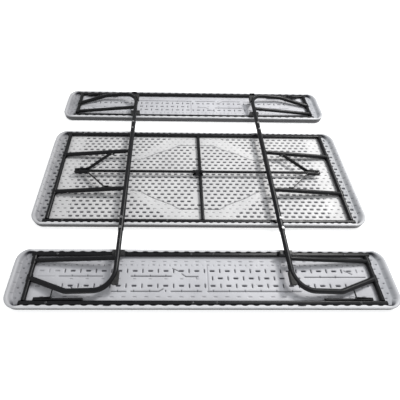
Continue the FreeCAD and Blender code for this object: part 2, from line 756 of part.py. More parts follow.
def make_end_frames():
    """Both end frames: what turns with the benches' hinge rails."""
    reach = evaluate(REACH)
    for end, turn in ENDS.items():
        ground_tube(f"{end}_ground_tube", turn)
        for bench, side in BENCHES.items():
            bench_arm(f"{end}_{bench}_bench_arm", turn, side)
        group(f"{end}_bench_struts", [bench_strut(f"{end}_{bench}_strut", turn, side)
                                      for bench, side in BENCHES.items()])
        group(f"{end}_inner_tubes", [inner_tube(f"{end}_{bench}_inner", turn, side)
                                     for bench, side in BENCHES.items()])
        half = dim("ground_tube_radius")
        bolts = group(f"{end}_frame_bolts", [bolt(reach, across * evaluate(line), -half, half)
                                             for across in (-1, 1) for line in BOLT_LINES])
        bolts.Placement = end_place(turn)
        group(f"{end}_foot_pads", [foot_pad(f"{end}_{bench}_foot", turn, side)
                                   for bench, side in BENCHES.items()])
        group(f"{end}_uprights", [upright(f"{end}_{bench}_upright", turn, side)
                                  for bench, side in BENCHES.items()])
        for bench, side in BENCHES.items():
            snap_button(f"{end}_{bench}_snap_button", turn, side)


# --- Braces -------------------------------------------------------------------------------------

BRACE_DISTANCE = dim("brace_pivot_distance")
TILT_RADIANS = math.radians(TILT)
# Pivot of the strut on the upright, folded and unfolded, in the left end's X and Z.
FOLDED_PIVOT = Vector(-dim("hinge_distance") + BRACE_DISTANCE * math.cos(TILT_RADIANS), 0,
                      dim("hinge_height") + BRACE_DISTANCE * math.sin(TILT_RADIANS))
OPEN_ANGLE = TILT_RADIANS + math.radians(dim("brace_fold"))
OPEN_PIVOT = Vector(-dim("hinge_distance") + BRACE_DISTANCE * math.cos(OPEN_ANGLE), 0,
                    dim("hinge_height") + BRACE_DISTANCE * math.sin(OPEN_ANGLE))
ROD_PIVOT = Vector(-dim("rod_pivot_distance"), 0, dim("rod_pivot_height"))
BRACE_SPAN = (OPEN_PIVOT - ROD_PIVOT).Length


# Halvings of the error when a pair of lengths is solved for.
SOLVE_STEPS = 60


def brace_lengths():
    """Rod and strut lengths that lie level when folded and straight when unfolded."""
    strut_length = 0.0
    rod_length = BRACE_SPAN
    for _ in range(SOLVE_STEPS):
        joint_x = ROD_PIVOT.x - rod_length
        strut_length = math.hypot(FOLDED_PIVOT.x - joint_x, FOLDED_PIVOT.z - ROD_PIVOT.z)
        rod_length += 0.5 * (BRACE_SPAN - rod_length - strut_length)
    return rod_length, strut_length


ROD_LENGTH, STRUT_LENGTH = brace_lengths()
FOLDED_JOINT = Vector(ROD_PIVOT.x - ROD_LENGTH, 0, ROD_PIVOT.z)
STRUT_TILT = math.degrees(math.atan2(FOLDED_PIVOT.z - FOLDED_JOINT.z, FOLDED_PIVOT.x - FOLDED_JOINT.x))


def mirrored(placement, turn):
    """Placement of a left-end piece, turned round to its own end."""
    return Placement(Vector(), Rotation(Vector(0, 0, 1), turn)) * placement


def brace_rod(name, turn):
    """Round rod from the centre bracket to the folding joint, flattened where it pivots."""
    rod = bind(doc.addObject("Part::Cylinder", "Rod"), Radius="Dims.rod_radius")
    rod.Height = ROD_LENGTH
    rod.Placement = Placement(Vector(0, 0, 0), Rotation(Vector(0, 1, 0), -90))
    eye = bind(doc.addObject("Part::Cylinder", "RodEye"), Radius="Dims.rod_eye_radius",
               Height="2 * Dims.rod_eye_half_width")
    tongue = bind(doc.addObject("Part::Cylinder", "RodTip"), Radius="Dims.rod_eye_radius",
                  Height="2 * Dims.rod_eye_half_width")
    for cylinder, x in ((eye, 0), (tongue, -ROD_LENGTH)):
        cylinder.Placement = Placement(Vector(x, -dim("rod_eye_half_width"), 0),
                                       Rotation(Vector(1, 0, 0), -90))
    whole = doc.addObject("Part::MultiFuse", "RodBlank")
    whole.Shapes = [rod, eye, tongue]
    hole = bind(doc.addObject("Part::Cylinder", "RodHole"),
                Radius="Dims.pivot_pin_radius + Dims.hinge_clearance", Height="4 * Dims.rod_radius")
    hole.Placement = Placement(Vector(0, -2 * dim("rod_radius"), 0), Rotation(Vector(1, 0, 0), -90))
    drilled = doc.addObject("Part::Cut", "BraceRod")
    drilled.Base = whole
    drilled.Tool = hole
    return keep(drilled, name, mirrored(Placement(ROD_PIVOT, Rotation()), turn))


def strut_outline(sign):
    """Corners of one strip of the forked strut, as expressions; X runs from the pivot to the joint."""
    inner = "(Dims.rod_radius + Dims.strip_side_gap)"
    outer = "(Dims.upright_offset - Dims.upright_radius - Dims.strut_clearance)"
    length = str(round(STRUT_LENGTH, 4))
    thick = "Dims.strip_thickness"
    apex = f"({length} - Dims.strip_apex)"
    corners = [
        ("-Dims.strip_lead", f"{outer} - {thick}"),
        ("Dims.strip_bend", f"{outer} - {thick}"),
        (apex, inner),
        (f"{length} + Dims.strip_tail", inner),
        (f"{length} + Dims.strip_tail", f"{inner} + {thick}"),
        (f"{apex} + Dims.strip_bend_shift", f"{inner} + {thick}"),
        ("Dims.strip_bend + Dims.strip_bend_shift", outer),
        ("-Dims.strip_lead", outer),
    ]
    return [(x, signed(sign, y)) for x, y in corners]


def forked_strut(name, turn):
    """Two flat strips that run from the uprights' pivots together, one on each side of the rod."""
    strips = []
    for sign in (-1, 1):
        body = new_body(f"{name}_{'a' if sign < 0 else 'b'}")
        outline = new_sketch(body, "XY_Plane")
        add_polygon(outline, strut_outline(sign))
        pad(body, outline, "Dims.strip_height", midplane=True)
        hole = new_sketch(body, "XZ_Plane", signed(-sign, "Dims.upright_offset - Dims.upright_radius"))
        add_circle(hole, "0", "0", "Dims.bolt_radius + Dims.hinge_clearance")
        pocket(body, hole, "Dims.bore_length", midplane=True)
        strips.append(body)
    tie = bind(doc.addObject("Part::Box", "StrutTie"), Length="Dims.tie_length",
               Width="2 * (Dims.rod_radius + Dims.strip_side_gap)", Height="Dims.tie_thickness")
    tie.Placement = Placement(
        Vector(STRUT_LENGTH + dim("strip_tail") - dim("tie_length") - dim("tie_inset"),
               -dim("rod_radius") - dim("strip_side_gap"),
               dim("strip_height") / 2 - dim("tie_thickness")), Rotation())
    heads = []
    start = dim("rod_radius") + dim("strip_side_gap") + dim("strip_thickness")
    for sign in (-1, 1):
        head = bind(doc.addObject("Part::Cylinder", "RivetHead"), Radius="Dims.rivet_head_radius",
                    Height="Dims.rivet_head_height")
        y = start if sign > 0 else -start - dim("rivet_head_height")
        head.Placement = Placement(Vector(STRUT_LENGTH, y, 0), Rotation(Vector(1, 0, 0), -90))
        heads.append(head)
    whole = doc.addObject("Part::MultiFuse", "ForkedStrut")
    whole.Shapes = strips + [tie] + heads
    turn_round = Rotation(Vector(0, 0, 1), 180) * Rotation(Vector(0, 1, 0), STRUT_TILT)
    return keep(whole, name, mirrored(Placement(FOLDED_PIVOT, turn_round), turn))


def strut_pivot(across):
    """Shoulder bolt from an upright through the end of the forked strut."""
    length = dim("strip_thickness") + dim("strut_clearance") + dim("pivot_side_gap")
    outer = dim("upright_offset") - dim("upright_radius") - dim("seat_gap")
    inner = outer - length
    shank = bind(doc.addObject("Part::Cylinder", "PivotShank"), Radius="Dims.bolt_radius")
    shank.Height = length
    head = bind(doc.addObject("Part::Cylinder", "PivotHead"), Radius="Dims.bolt_head_radius",
                Height="Dims.pivot_head_height")
    spans = ((shank, inner, outer), (head, inner - dim("pivot_head_height"), inner))
    for cylinder, low, high in spans:
        y = low if across > 0 else -high
        cylinder.Placement = Placement(Vector(BRACE_DISTANCE, y, 0), Rotation(Vector(1, 0, 0), -90))
    whole = doc.addObject("Part::Fuse", "StrutPivot")
    whole.Base = shank
    whole.Tool = head
    return whole


def make_braces():
    """Brace rods, forked struts and their pivots."""
    for end, turn in ENDS.items():
        brace_rod(f"{end}_brace_rod", turn)
        forked_strut(f"{end}_forked_strut", turn)
        pivots = group(f"{end}_strut_pivots", [strut_pivot(across) for across in (-1, 1)])
        pivots.Placement = end_place(turn)


# --- Bench stays --------------------------------------------------------------------------------

STAY_ARM = dim("stay_arm_distance")
STAY_RAIL_PIVOT = Vector(-dim("hinge_distance") + dim("stay_rail_distance"), 0, dim("stay_rail_height"))
STAY_ARM_PIVOT = Vector(-dim("hinge_distance") + STAY_ARM * math.cos(TILT_RADIANS), 0,
                        dim("hinge_height") + STAY_ARM * math.sin(TILT_RADIANS))
STAY_OPEN_PIVOT = Vector(-dim("hinge_distance") + STAY_ARM * math.cos(OPEN_ANGLE), 0,
                         dim("hinge_height") + STAY_ARM * math.sin(OPEN_ANGLE))
STAY_SPAN = (STAY_OPEN_PIVOT - STAY_RAIL_PIVOT).Length


def stay_lengths():
    """Lengths of the rail link and the arm link, level when folded and straight when unfolded."""
    arm_link = 0.0
    rail_link = STAY_SPAN
    for _ in range(SOLVE_STEPS):
        joint_x = STAY_RAIL_PIVOT.x - rail_link
        arm_link = math.hypot(STAY_ARM_PIVOT.x - joint_x, STAY_ARM_PIVOT.z - STAY_RAIL_PIVOT.z)
        rail_link += 0.5 * (STAY_SPAN - rail_link - arm_link)
    return rail_link, arm_link


RAIL_LINK, ARM_LINK = stay_lengths()
STAY_JOINT = Vector(STAY_RAIL_PIVOT.x - RAIL_LINK, 0, STAY_RAIL_PIVOT.z)
ARM_LINK_TILT = math.degrees(math.atan2(STAY_ARM_PIVOT.z - STAY_JOINT.z, STAY_ARM_PIVOT.x - STAY_JOINT.x))


def flat_link(length, y_low, width, holes, placement):
    """Bar with round ends between two pivots, along -X from its own origin."""
    box = bind(doc.addObject("Part::Box", "LinkStrip"), Width=width, Height="Dims.stay_height")
    box.Length = length
    box.Placement = Placement(Vector(-length, y_low, -dim("stay_height") / 2), Rotation())
    ends = []
    for x in (0.0, -length):
        cap = bind(doc.addObject("Part::Cylinder", "LinkEnd"), Radius="Dims.stay_height / 2",
                   Height=width)
        cap.Placement = Placement(Vector(x, y_low, 0), Rotation(Vector(1, 0, 0), -90))
        ends.append(cap)
    blank = doc.addObject("Part::MultiFuse", "LinkBlank")
    blank.Shapes = [box] + ends
    piece = blank
    for x in holes:
        bore = bind(doc.addObject("Part::Cylinder", "LinkBore"),
                    Radius="Dims.pivot_pin_radius + Dims.hinge_clearance", Height="Dims.bore_length")
        bore.Placement = Placement(Vector(x, y_low - dim("bore_length") / 2, 0),
                                   Rotation(Vector(1, 0, 0), -90))
        cut = doc.addObject("Part::Cut", "Link")
        cut.Base = piece
        cut.Tool = bore
        piece = cut
    piece.Placement = placement
    return piece


def make_stays():
    """Folding stay between each bench's outer rail and each arm: two links at each of four places."""
    rail_width = dim("rail_link_width")
    arm_width = dim("arm_link_width")
    rail_face = evaluate(STAY_RAIL_FACE)
    arm_face = evaluate(STAY_ARM_FACE)
    for end, turn in ENDS.items():
        for bench, side in BENCHES.items():
            sign = sign_of(turn, side)
            rail_low = rail_face - rail_width if sign > 0 else -rail_face
            arm_low = arm_face - arm_width if sign > 0 else -arm_face
            rail_link = flat_link(RAIL_LINK, rail_low, "Dims.rail_link_width", (0.0,), Placement())
            keep(rail_link, f"{end}_{bench}_stay_rail_link",
                 mirrored(Placement(STAY_RAIL_PIVOT, Rotation()), turn))
            arm_link = flat_link(ARM_LINK, arm_low, "Dims.arm_link_width", (0.0,), Placement())
            arm_turn = Rotation(Vector(0, 1, 0), -ARM_LINK_TILT)
            keep(arm_link, f"{end}_{bench}_stay_arm_link",
                 mirrored(Placement(STAY_ARM_PIVOT, arm_turn), turn))


# --- Small bench fittings -----------------------------------------------------------------------

def make_fittings():
    """Saddles that carry the folded arms, stay pins, and clips on the outer rails."""
    rail_line = dim("bench_width") / 2 - dim("bench_rail_inset")
    for bench, side in BENCHES.items():
        saddles = []
        for x in (-1, 1):
            y = side * (BENCH_MIDDLE - rail_line)
            block = bind(doc.addObject("Part::Box", "SaddleBlock"), Length="Dims.saddle_length",
                         Width="Dims.saddle_width", Height="Dims.saddle_top - Dims.rail_top")
            block.Placement = Placement(
                Vector(x * dim("cross_distance") - dim("saddle_length") / 2,
                       y - dim("saddle_width") / 2, dim("rail_top")), Rotation())
            groove = bind(doc.addObject("Part::Cylinder", "SaddleGroove"),
                          Radius="Dims.arm_radius + Dims.slip_clearance", Height="3 * Dims.saddle_width")
            groove.Placement = Placement(
                Vector(x * dim("cross_distance"), y - 1.5 * dim("saddle_width"), dim("cross_height")),
                Rotation(Vector(1, 0, 0), -90))
            saddle = doc.addObject("Part::Cut", "Saddle")
            saddle.Base = block
            saddle.Tool = groove
            saddles.append(saddle)
        group(f"{bench}_bench_saddles", saddles)
        fittings = []
        for x in (-1, 1):
            clip = bind(doc.addObject("Part::Box", "Clip"), Length="Dims.clip_length",
                        Width="Dims.clip_width", Height="Dims.clip_height")
            outer = side * (BENCH_MIDDLE + rail_line + dim("bench_rail_width") / 2)
            y = outer if side > 0 else outer - dim("clip_width")
            clip.Placement = Placement(
                Vector(x * dim("clip_distance") - dim("clip_length") / 2, y,
                       dim("rail_top") + dim("clip_stand") - dim("clip_height")), Rotation())
            fittings.append(clip)
            pin = bind(doc.addObject("Part::Cylinder", "StayPin"), Radius="Dims.pivot_pin_radius")
            start = evaluate(RAIL_FACE)
            length = dim("stay_gap") + dim("rail_link_width")
            pin.Height = length
            pin_y = side * start - (length if side > 0 else 0)
            pin.Placement = Placement(Vector(x * -STAY_RAIL_PIVOT.x, pin_y, STAY_RAIL_PIVOT.z),
                                      Rotation(Vector(1, 0, 0), -90))
            fittings.append(pin)
        group(f"{bench}_bench_rail_fittings", fittings)


def check_document():
    """Stop if anything failed, or if a sub-part's shape is null or invalid."""
    doc.recompute()
    for thing in doc.Objects:
        if "Invalid" in thing.State or "Error" in thing.State:
            sys.exit(f"{thing.Label} failed: {thing.State}")
    for name, thing in nodes.items():
        if thing.Shape.isNull() or not thing.Shape.isValid():
            sys.exit(f"{name} has no valid shape")


def main():
    """Build the document, check it and write one file per sub-part."""
    make_panels()
    make_rails()
    make_screws()
    make_centre()
    make_end_frames()
    make_braces()
    make_stays()
    make_fittings()
    check_document()
    os.makedirs("parts", exist_ok=True)
    for name, thing in nodes.items():
        thing.Shape.exportStep(f"parts/{name}.step")
    print(f"{len(nodes)} sub-parts, rod {ROD_LENGTH:.2f}, strut {STRUT_LENGTH:.2f},"
          f" rail link {RAIL_LINK:.2f}, arm link {ARM_LINK:.2f}, tilt {TILT:.3f}")


main()
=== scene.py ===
"""Looks of a folding picnic table with two benches, lying folded with its undersides up.

X runs along the table, Y across it with the near bench at -Y, Z up.  Lengths are metres.
"""
from __future__ import annotations

import json
import logging
import math
from dataclasses import dataclass
from enum import Enum
from typing import Sequence

import bpy
import numpy as np
from mathutils import Matrix, Vector

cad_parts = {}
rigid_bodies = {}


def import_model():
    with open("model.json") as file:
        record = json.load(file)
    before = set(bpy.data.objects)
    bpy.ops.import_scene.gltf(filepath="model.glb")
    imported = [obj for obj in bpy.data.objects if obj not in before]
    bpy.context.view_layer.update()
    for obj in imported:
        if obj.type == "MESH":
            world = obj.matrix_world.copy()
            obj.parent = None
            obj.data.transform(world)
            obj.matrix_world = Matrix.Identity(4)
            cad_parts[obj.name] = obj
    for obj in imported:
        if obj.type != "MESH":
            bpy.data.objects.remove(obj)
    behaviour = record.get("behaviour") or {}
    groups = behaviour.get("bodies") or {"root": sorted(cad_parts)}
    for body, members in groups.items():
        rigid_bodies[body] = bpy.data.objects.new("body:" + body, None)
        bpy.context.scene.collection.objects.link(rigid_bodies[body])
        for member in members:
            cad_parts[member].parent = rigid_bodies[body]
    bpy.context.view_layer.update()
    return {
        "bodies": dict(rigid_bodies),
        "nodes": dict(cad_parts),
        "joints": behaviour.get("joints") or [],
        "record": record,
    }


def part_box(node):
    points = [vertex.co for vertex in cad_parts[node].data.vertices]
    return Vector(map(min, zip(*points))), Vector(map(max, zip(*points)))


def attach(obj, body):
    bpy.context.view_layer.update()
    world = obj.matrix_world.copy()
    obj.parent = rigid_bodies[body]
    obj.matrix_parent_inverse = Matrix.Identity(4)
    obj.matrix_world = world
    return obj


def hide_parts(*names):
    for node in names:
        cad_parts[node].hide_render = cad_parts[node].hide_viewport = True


LOG = logging.getLogger("picnic_table")
MM = 0.001
TAU = 2 * math.pi
QUARTER = math.pi / 2
RAIL_END = 845.0 * MM
TABLE_PITCH = 38.5 * MM
TABLE_ROW = 24.43 * MM
TABLE_ROW_PHASE = 5.4 * MM
SEAT_PITCH = 75.5 * MM
SEAT_FIRST = 45.5 * MM
SEAT_ROW = 36.0 * MM

Colour = tuple[float, float, float]
Shape = tuple[np.ndarray, np.ndarray, list[np.ndarray]]


class Slot(Enum):
    """Material slots of the record."""

    PANEL = "panel_plastic"
    STEEL = "black_steel"
    PLASTIC = "black_plastic"
    RUBBER = "foot_rubber"
    PLATED = "plated_steel"


class Bench(Enum):
    """The two benches, with the direction in which each lies from the table."""

    NEAR = -1
    FAR = 1

    @property
    def word(self) -> str:
        """Name of the bench as its nodes have it."""
        return self.name.lower()


# --- Mesh helpers ---------------------------------------------------------------------------------

def smooth(t: np.ndarray) -> np.ndarray:
    """Smooth step of t, clipped to 0..1: 3t^2 - 2t^3."""
    t = np.clip(t, 0.0, 1.0)
    return t * t * (3.0 - 2.0 * t)


def grid_quads(rows: int, columns: int, wrap: bool = False) -> np.ndarray:
    """Quads of a grid of points stored row by row.

    Args:
        rows: number of rows of points.
        columns: number of points in a row.
        wrap: whether the last column joins the first.

    Returns:
        Array of quads, four point numbers each.
    """
    last = columns if wrap else columns - 1
    i, j = np.meshgrid(np.arange(rows - 1), np.arange(last), indexing="ij")
    k = (j + 1) % columns
    corners = (i * columns + j, i * columns + k, (i + 1) * columns + k, (i + 1) * columns + j)
    return np.stack(corners, axis=-1).reshape(-1, 4)


def make_piece(name: str, points: np.ndarray, quads: np.ndarray, caps: Sequence[np.ndarray] = (),
               sharp: float = 40.0) -> bpy.types.Object:
    """Mesh object from points, quads and flat caps.

    Args:
        name: name of the piece.
        points: array of points, three numbers each.
        quads: array of quads.
        caps: point numbers of each flat cap, in order round it.
        sharp: angle in degrees above which an edge is shown sharp.

    Returns:
        The new object, linked to the scene.
    """
    mesh = bpy.data.meshes.new(name)
    mesh.vertices.add(len(points))
    mesh.vertices.foreach_set("co", np.ascontiguousarray(points, dtype=np.float32).ravel())
    corners = np.concatenate([quads.ravel(), *[np.asarray(cap) for cap in caps]]).astype(np.int32)
    totals = np.concatenate([np.full(len(quads), 4), [len(cap) for cap in caps]]).astype(np.int32)
    starts = np.concatenate([[0], np.cumsum(totals)[:-1]]).astype(np.int32)
    mesh.loops.add(len(corners))
    mesh.loops.foreach_set("vertex_index", corners)
    mesh.polygons.add(len(totals))
    mesh.polygons.foreach_set("loop_start", starts)
    mesh.polygons.foreach_set("use_smooth", np.ones(len(totals), dtype=bool))
    mesh.update(calc_edges=True)
    mesh.validate()
    mesh.set_sharp_from_angle(angle=math.radians(sharp))
    piece = bpy.data.objects.new(name, mesh)
    bpy.context.scene.collection.objects.link(piece)
    return piece


@dataclass
class Soup:
    """Closed shapes gathered into one mesh."""

    name: str

    def __post_init__(self) -> None:
        """Start with nothing gathered."""
        self.points: list[np.ndarray] = []
        self.quads: list[np.ndarray] = []
        self.caps: list[np.ndarray] = []
        self.count = 0

    def add(self, points: np.ndarray, quads: np.ndarray, caps: Sequence[np.ndarray] = ()) -> None:
        """Add one shape.

        Args:
            points: array of its points.
            quads: array of its quads.
            caps: its flat caps.
        """
        self.points.append(points)
        self.quads.append(quads + self.count)
        self.caps.extend(np.asarray(cap) + self.count for cap in caps)
        self.count += len(points)

    def build(self, sharp: float = 40.0) -> bpy.types.Object:
        """Make the mesh object of everything gathered."""
        return make_piece(self.name, np.concatenate(self.points), np.concatenate(self.quads),
                          self.caps, sharp)


def swept(path: np.ndarray, side: np.ndarray, up: np.ndarray, outline: np.ndarray,
          scale: np.ndarray, closed: bool = False) -> Shape:
    """An outline carried along a path: point = path + scale * (a * side + b * up).

    Args:
        path: points of the path, N by 3.
        side: direction of the outline's first coordinate at each point.
        up: direction of its second coordinate, so that side, up and the path are right-handed.
        outline: closed outline, M by 2, counter-clockwise seen from the path's far end.
        scale: size of the outline at each point.
        closed: whether the path joins its own start.

    Returns:
        Points, quads and end caps.
    """
    rings = (path[:, None, :] + scale[:, None, None] *
             (outline[None, :, :1] * side[:, None, :] + outline[None, :, 1:] * up[:, None, :]))
    count = len(outline)
    if closed:
        rings = np.concatenate([rings, rings[:1]])
    quads = grid_quads(len(rings), count, wrap=True)
    if closed:
        quads = quads % (len(path) * count)
        return rings[:-1].reshape(-1, 3), quads, []
    last = (len(rings) - 1) * count
    caps = [np.arange(count)[::-1], last + np.arange(count)]
    return rings.reshape(-1, 3), quads, caps


def bead(path: np.ndarray, radius: np.ndarray, closed: bool = False, sides: int = 8) -> Shape:
    """Round bead of changing thickness along a bent path.

    The tangent is the path's slope.  The reference is the mean of cross products of tangents that
    follow each other; one cross direction is reference x tangent, the other completes the frame.

    Args:
        path: points of the path, which is nowhere straight for its whole length.
        radius: thickness at each point.
        closed: whether the path joins its own start.
        sides: corners of the round section.

    Returns:
        Points, quads and end caps.
    """
    if closed:
        tangent = np.roll(path, -1, axis=0) - np.roll(path, 1, axis=0)
    else:
        tangent = np.gradient(path, axis=0)
    tangent /= np.linalg.norm(tangent, axis=1, keepdims=True)
    reference = np.mean(np.cross(tangent[:-1], tangent[1:]), axis=0)
    side = np.cross(reference, tangent)
    side /= np.linalg.norm(side, axis=1, keepdims=True)
    up = np.cross(tangent, side)
    turn = np.linspace(0, TAU, sides, endpoint=False)
    outline = np.stack([np.cos(turn), np.sin(turn)], axis=1)
    return swept(path, side, up, outline, radius, closed)


def islands(node: str, reach: float = 0.03) -> np.ndarray:
    """Centres, seen from above, of the separate small solids in a CAD node.

    Args:
        node: name of the node.
        reach: solids are further apart than this.

    Returns:
        One row of x and y per solid.
    """
    mesh = bpy.data.objects[node].data
    points = np.empty(len(mesh.vertices) * 3)
    mesh.vertices.foreach_get("co", points)
    flat = points.reshape(-1, 3)[:, :2]
    cells = np.unique(np.round(flat / reach).astype(int), axis=0) * reach
    centres = []
    for cell in cells:
        near = flat[np.linalg.norm(flat - cell, axis=1) < reach]
        centres.append((near.min(axis=0) + near.max(axis=0)) / 2)
    return np.unique(np.round(np.array(centres), 4), axis=0)


# --- Finishes -------------------------------------------------------------------------------------

@dataclass(frozen=True)
class Mottle:
    """Noise mapped from low..high to start..end."""

    scale: float
    detail: float
    low: float
    high: float
    start: float = 0.0
    end: float = 1.0
    rough: float = 0.55
    stretch: tuple[float, float, float] | None = None


@dataclass(frozen=True)
class Grain:
    """Noise pressed into a surface: its scale, its height in metres and its strength."""

    scale: float
    height: float
    strength: float
    detail: float = 2.0


class Shade:
    """Builder for one node material on a Principled shader."""

    def __init__(self, name: str) -> None:
        """Start a material with a shader, its output and Object coordinates.

        Args:
            name: name of the material.
        """
        self.material = bpy.data.materials.new(name)
        self.material.use_nodes = True
        self.tree = self.material.node_tree
        self.tree.nodes.clear()
        self.shader = self.add("ShaderNodeBsdfPrincipled")
        output = self.add("ShaderNodeOutputMaterial")
        self.tree.links.new(self.shader.outputs["BSDF"], output.inputs["Surface"])
        self.where = self.add("ShaderNodeTexCoord").outputs["Object"]

    def add(self, kind: str, **values: object) -> bpy.types.Node:
        """Add a node and set its properties."""
        node = self.tree.nodes.new(kind)
        for name, value in values.items():
            setattr(node, name, value)
        return node

    def feed(self, socket: bpy.types.NodeSocket, source: object) -> None:
        """Link a source socket to an input, or set the input's own value."""
        if isinstance(source, bpy.types.NodeSocket):
            self.tree.links.new(source, socket)
        else:
            socket.default_value = source

    def stretched(self, x: float, y: float, z: float) -> bpy.types.NodeSocket:
        """Object coordinates scaled along each axis."""
        mapping = self.add("ShaderNodeMapping")
        self.feed(mapping.inputs["Vector"], self.where)
        mapping.inputs["Scale"].default_value = (x, y, z)
        return mapping.outputs["Vector"]

    def noise(self, scale: float, detail: float, rough: float = 0.55,
              vector: bpy.types.NodeSocket | None = None) -> bpy.types.NodeSocket:
        """Noise value from 0 to 1."""
        node = self.add("ShaderNodeTexNoise")
        self.feed(node.inputs["Vector"], vector or self.where)
        node.inputs["Scale"].default_value = scale
        node.inputs["Detail"].default_value = detail
        node.inputs["Roughness"].default_value = rough
        return node.outputs["Fac"]

    def ramp(self, source: bpy.types.NodeSocket, low: float, high: float,
             start: float = 0.0, end: float = 1.0) -> bpy.types.NodeSocket:
        """Linear map of source from low..high to start..end, clipped."""
        node = self.add("ShaderNodeMapRange")
        self.feed(node.inputs["Value"], source)
        limits = {"From Min": low, "From Max": high, "To Min": start, "To Max": end}
        for name, value in limits.items():
            node.inputs[name].default_value = value
        return node.outputs["Result"]

    def mottle(self, kind: Mottle) -> bpy.types.NodeSocket:
        """Noise of one kind, mapped to its range."""
        vector = self.stretched(*kind.stretch) if kind.stretch else None
        noise = self.noise(kind.scale, kind.detail, kind.rough, vector)
        return self.ramp(noise, kind.low, kind.high, kind.start, kind.end)

    def grain(self, kind: Grain,
              normal: bpy.types.NodeSocket | None = None) -> bpy.types.NodeSocket:
        """Bump of one kind of grain over an optional earlier bump."""
        return self.bump(self.noise(kind.scale, kind.detail), kind.height, kind.strength, normal)

    def calc(self, operation: str, first: object, second: object = 0.0) -> bpy.types.NodeSocket:
        """Math node."""
        node = self.add("ShaderNodeMath", operation=operation)
        self.feed(node.inputs[0], first)
        self.feed(node.inputs[1], second)
        return node.outputs[0]

    def blend(self, factor: bpy.types.NodeSocket, first: object,
              second: object) -> bpy.types.NodeSocket:
        """Mix of two colours by a factor."""
        node = self.add("ShaderNodeMix", data_type="RGBA")
        self.feed(node.inputs[0], factor)
        for socket, colour in ((node.inputs[6], first), (node.inputs[7], second)):
            linked = isinstance(colour, bpy.types.NodeSocket)
            self.feed(socket, colour if linked else (*colour, 1.0))
        return node.outputs[2]

    def bump(self, height: bpy.types.NodeSocket, distance: float, strength: float,
             normal: bpy.types.NodeSocket | None) -> bpy.types.NodeSocket:
        """Bump of a height, in metres, over an optional earlier bump."""
        node = self.add("ShaderNodeBump")
        node.inputs["Strength"].default_value = strength
        node.inputs["Distance"].default_value = distance
        self.feed(node.inputs["Height"], height)
        if normal is not None:
            self.feed(node.inputs["Normal"], normal)
        return node.outputs["Normal"]

    def axis(self, source: bpy.types.NodeSocket, which: str) -> bpy.types.NodeSocket:
        """One coordinate of a vector."""
        node = self.add("ShaderNodeSeparateXYZ")
        self.feed(node.inputs["Vector"], source)
        return node.outputs[which]

    def upward(self) -> bpy.types.NodeSocket:
        """How far a surface faces up, from -1 to 1."""
        return self.axis(self.add("ShaderNodeNewGeometry").outputs["Normal"], "Z")

    def finish(self, **values: object) -> bpy.types.Material:
        """Set or link the shader's sockets by name, with underscores for spaces."""
        for name, value in values.items():
            self.feed(self.shader.inputs[name.replace("_", " ")], value)
        return self.material


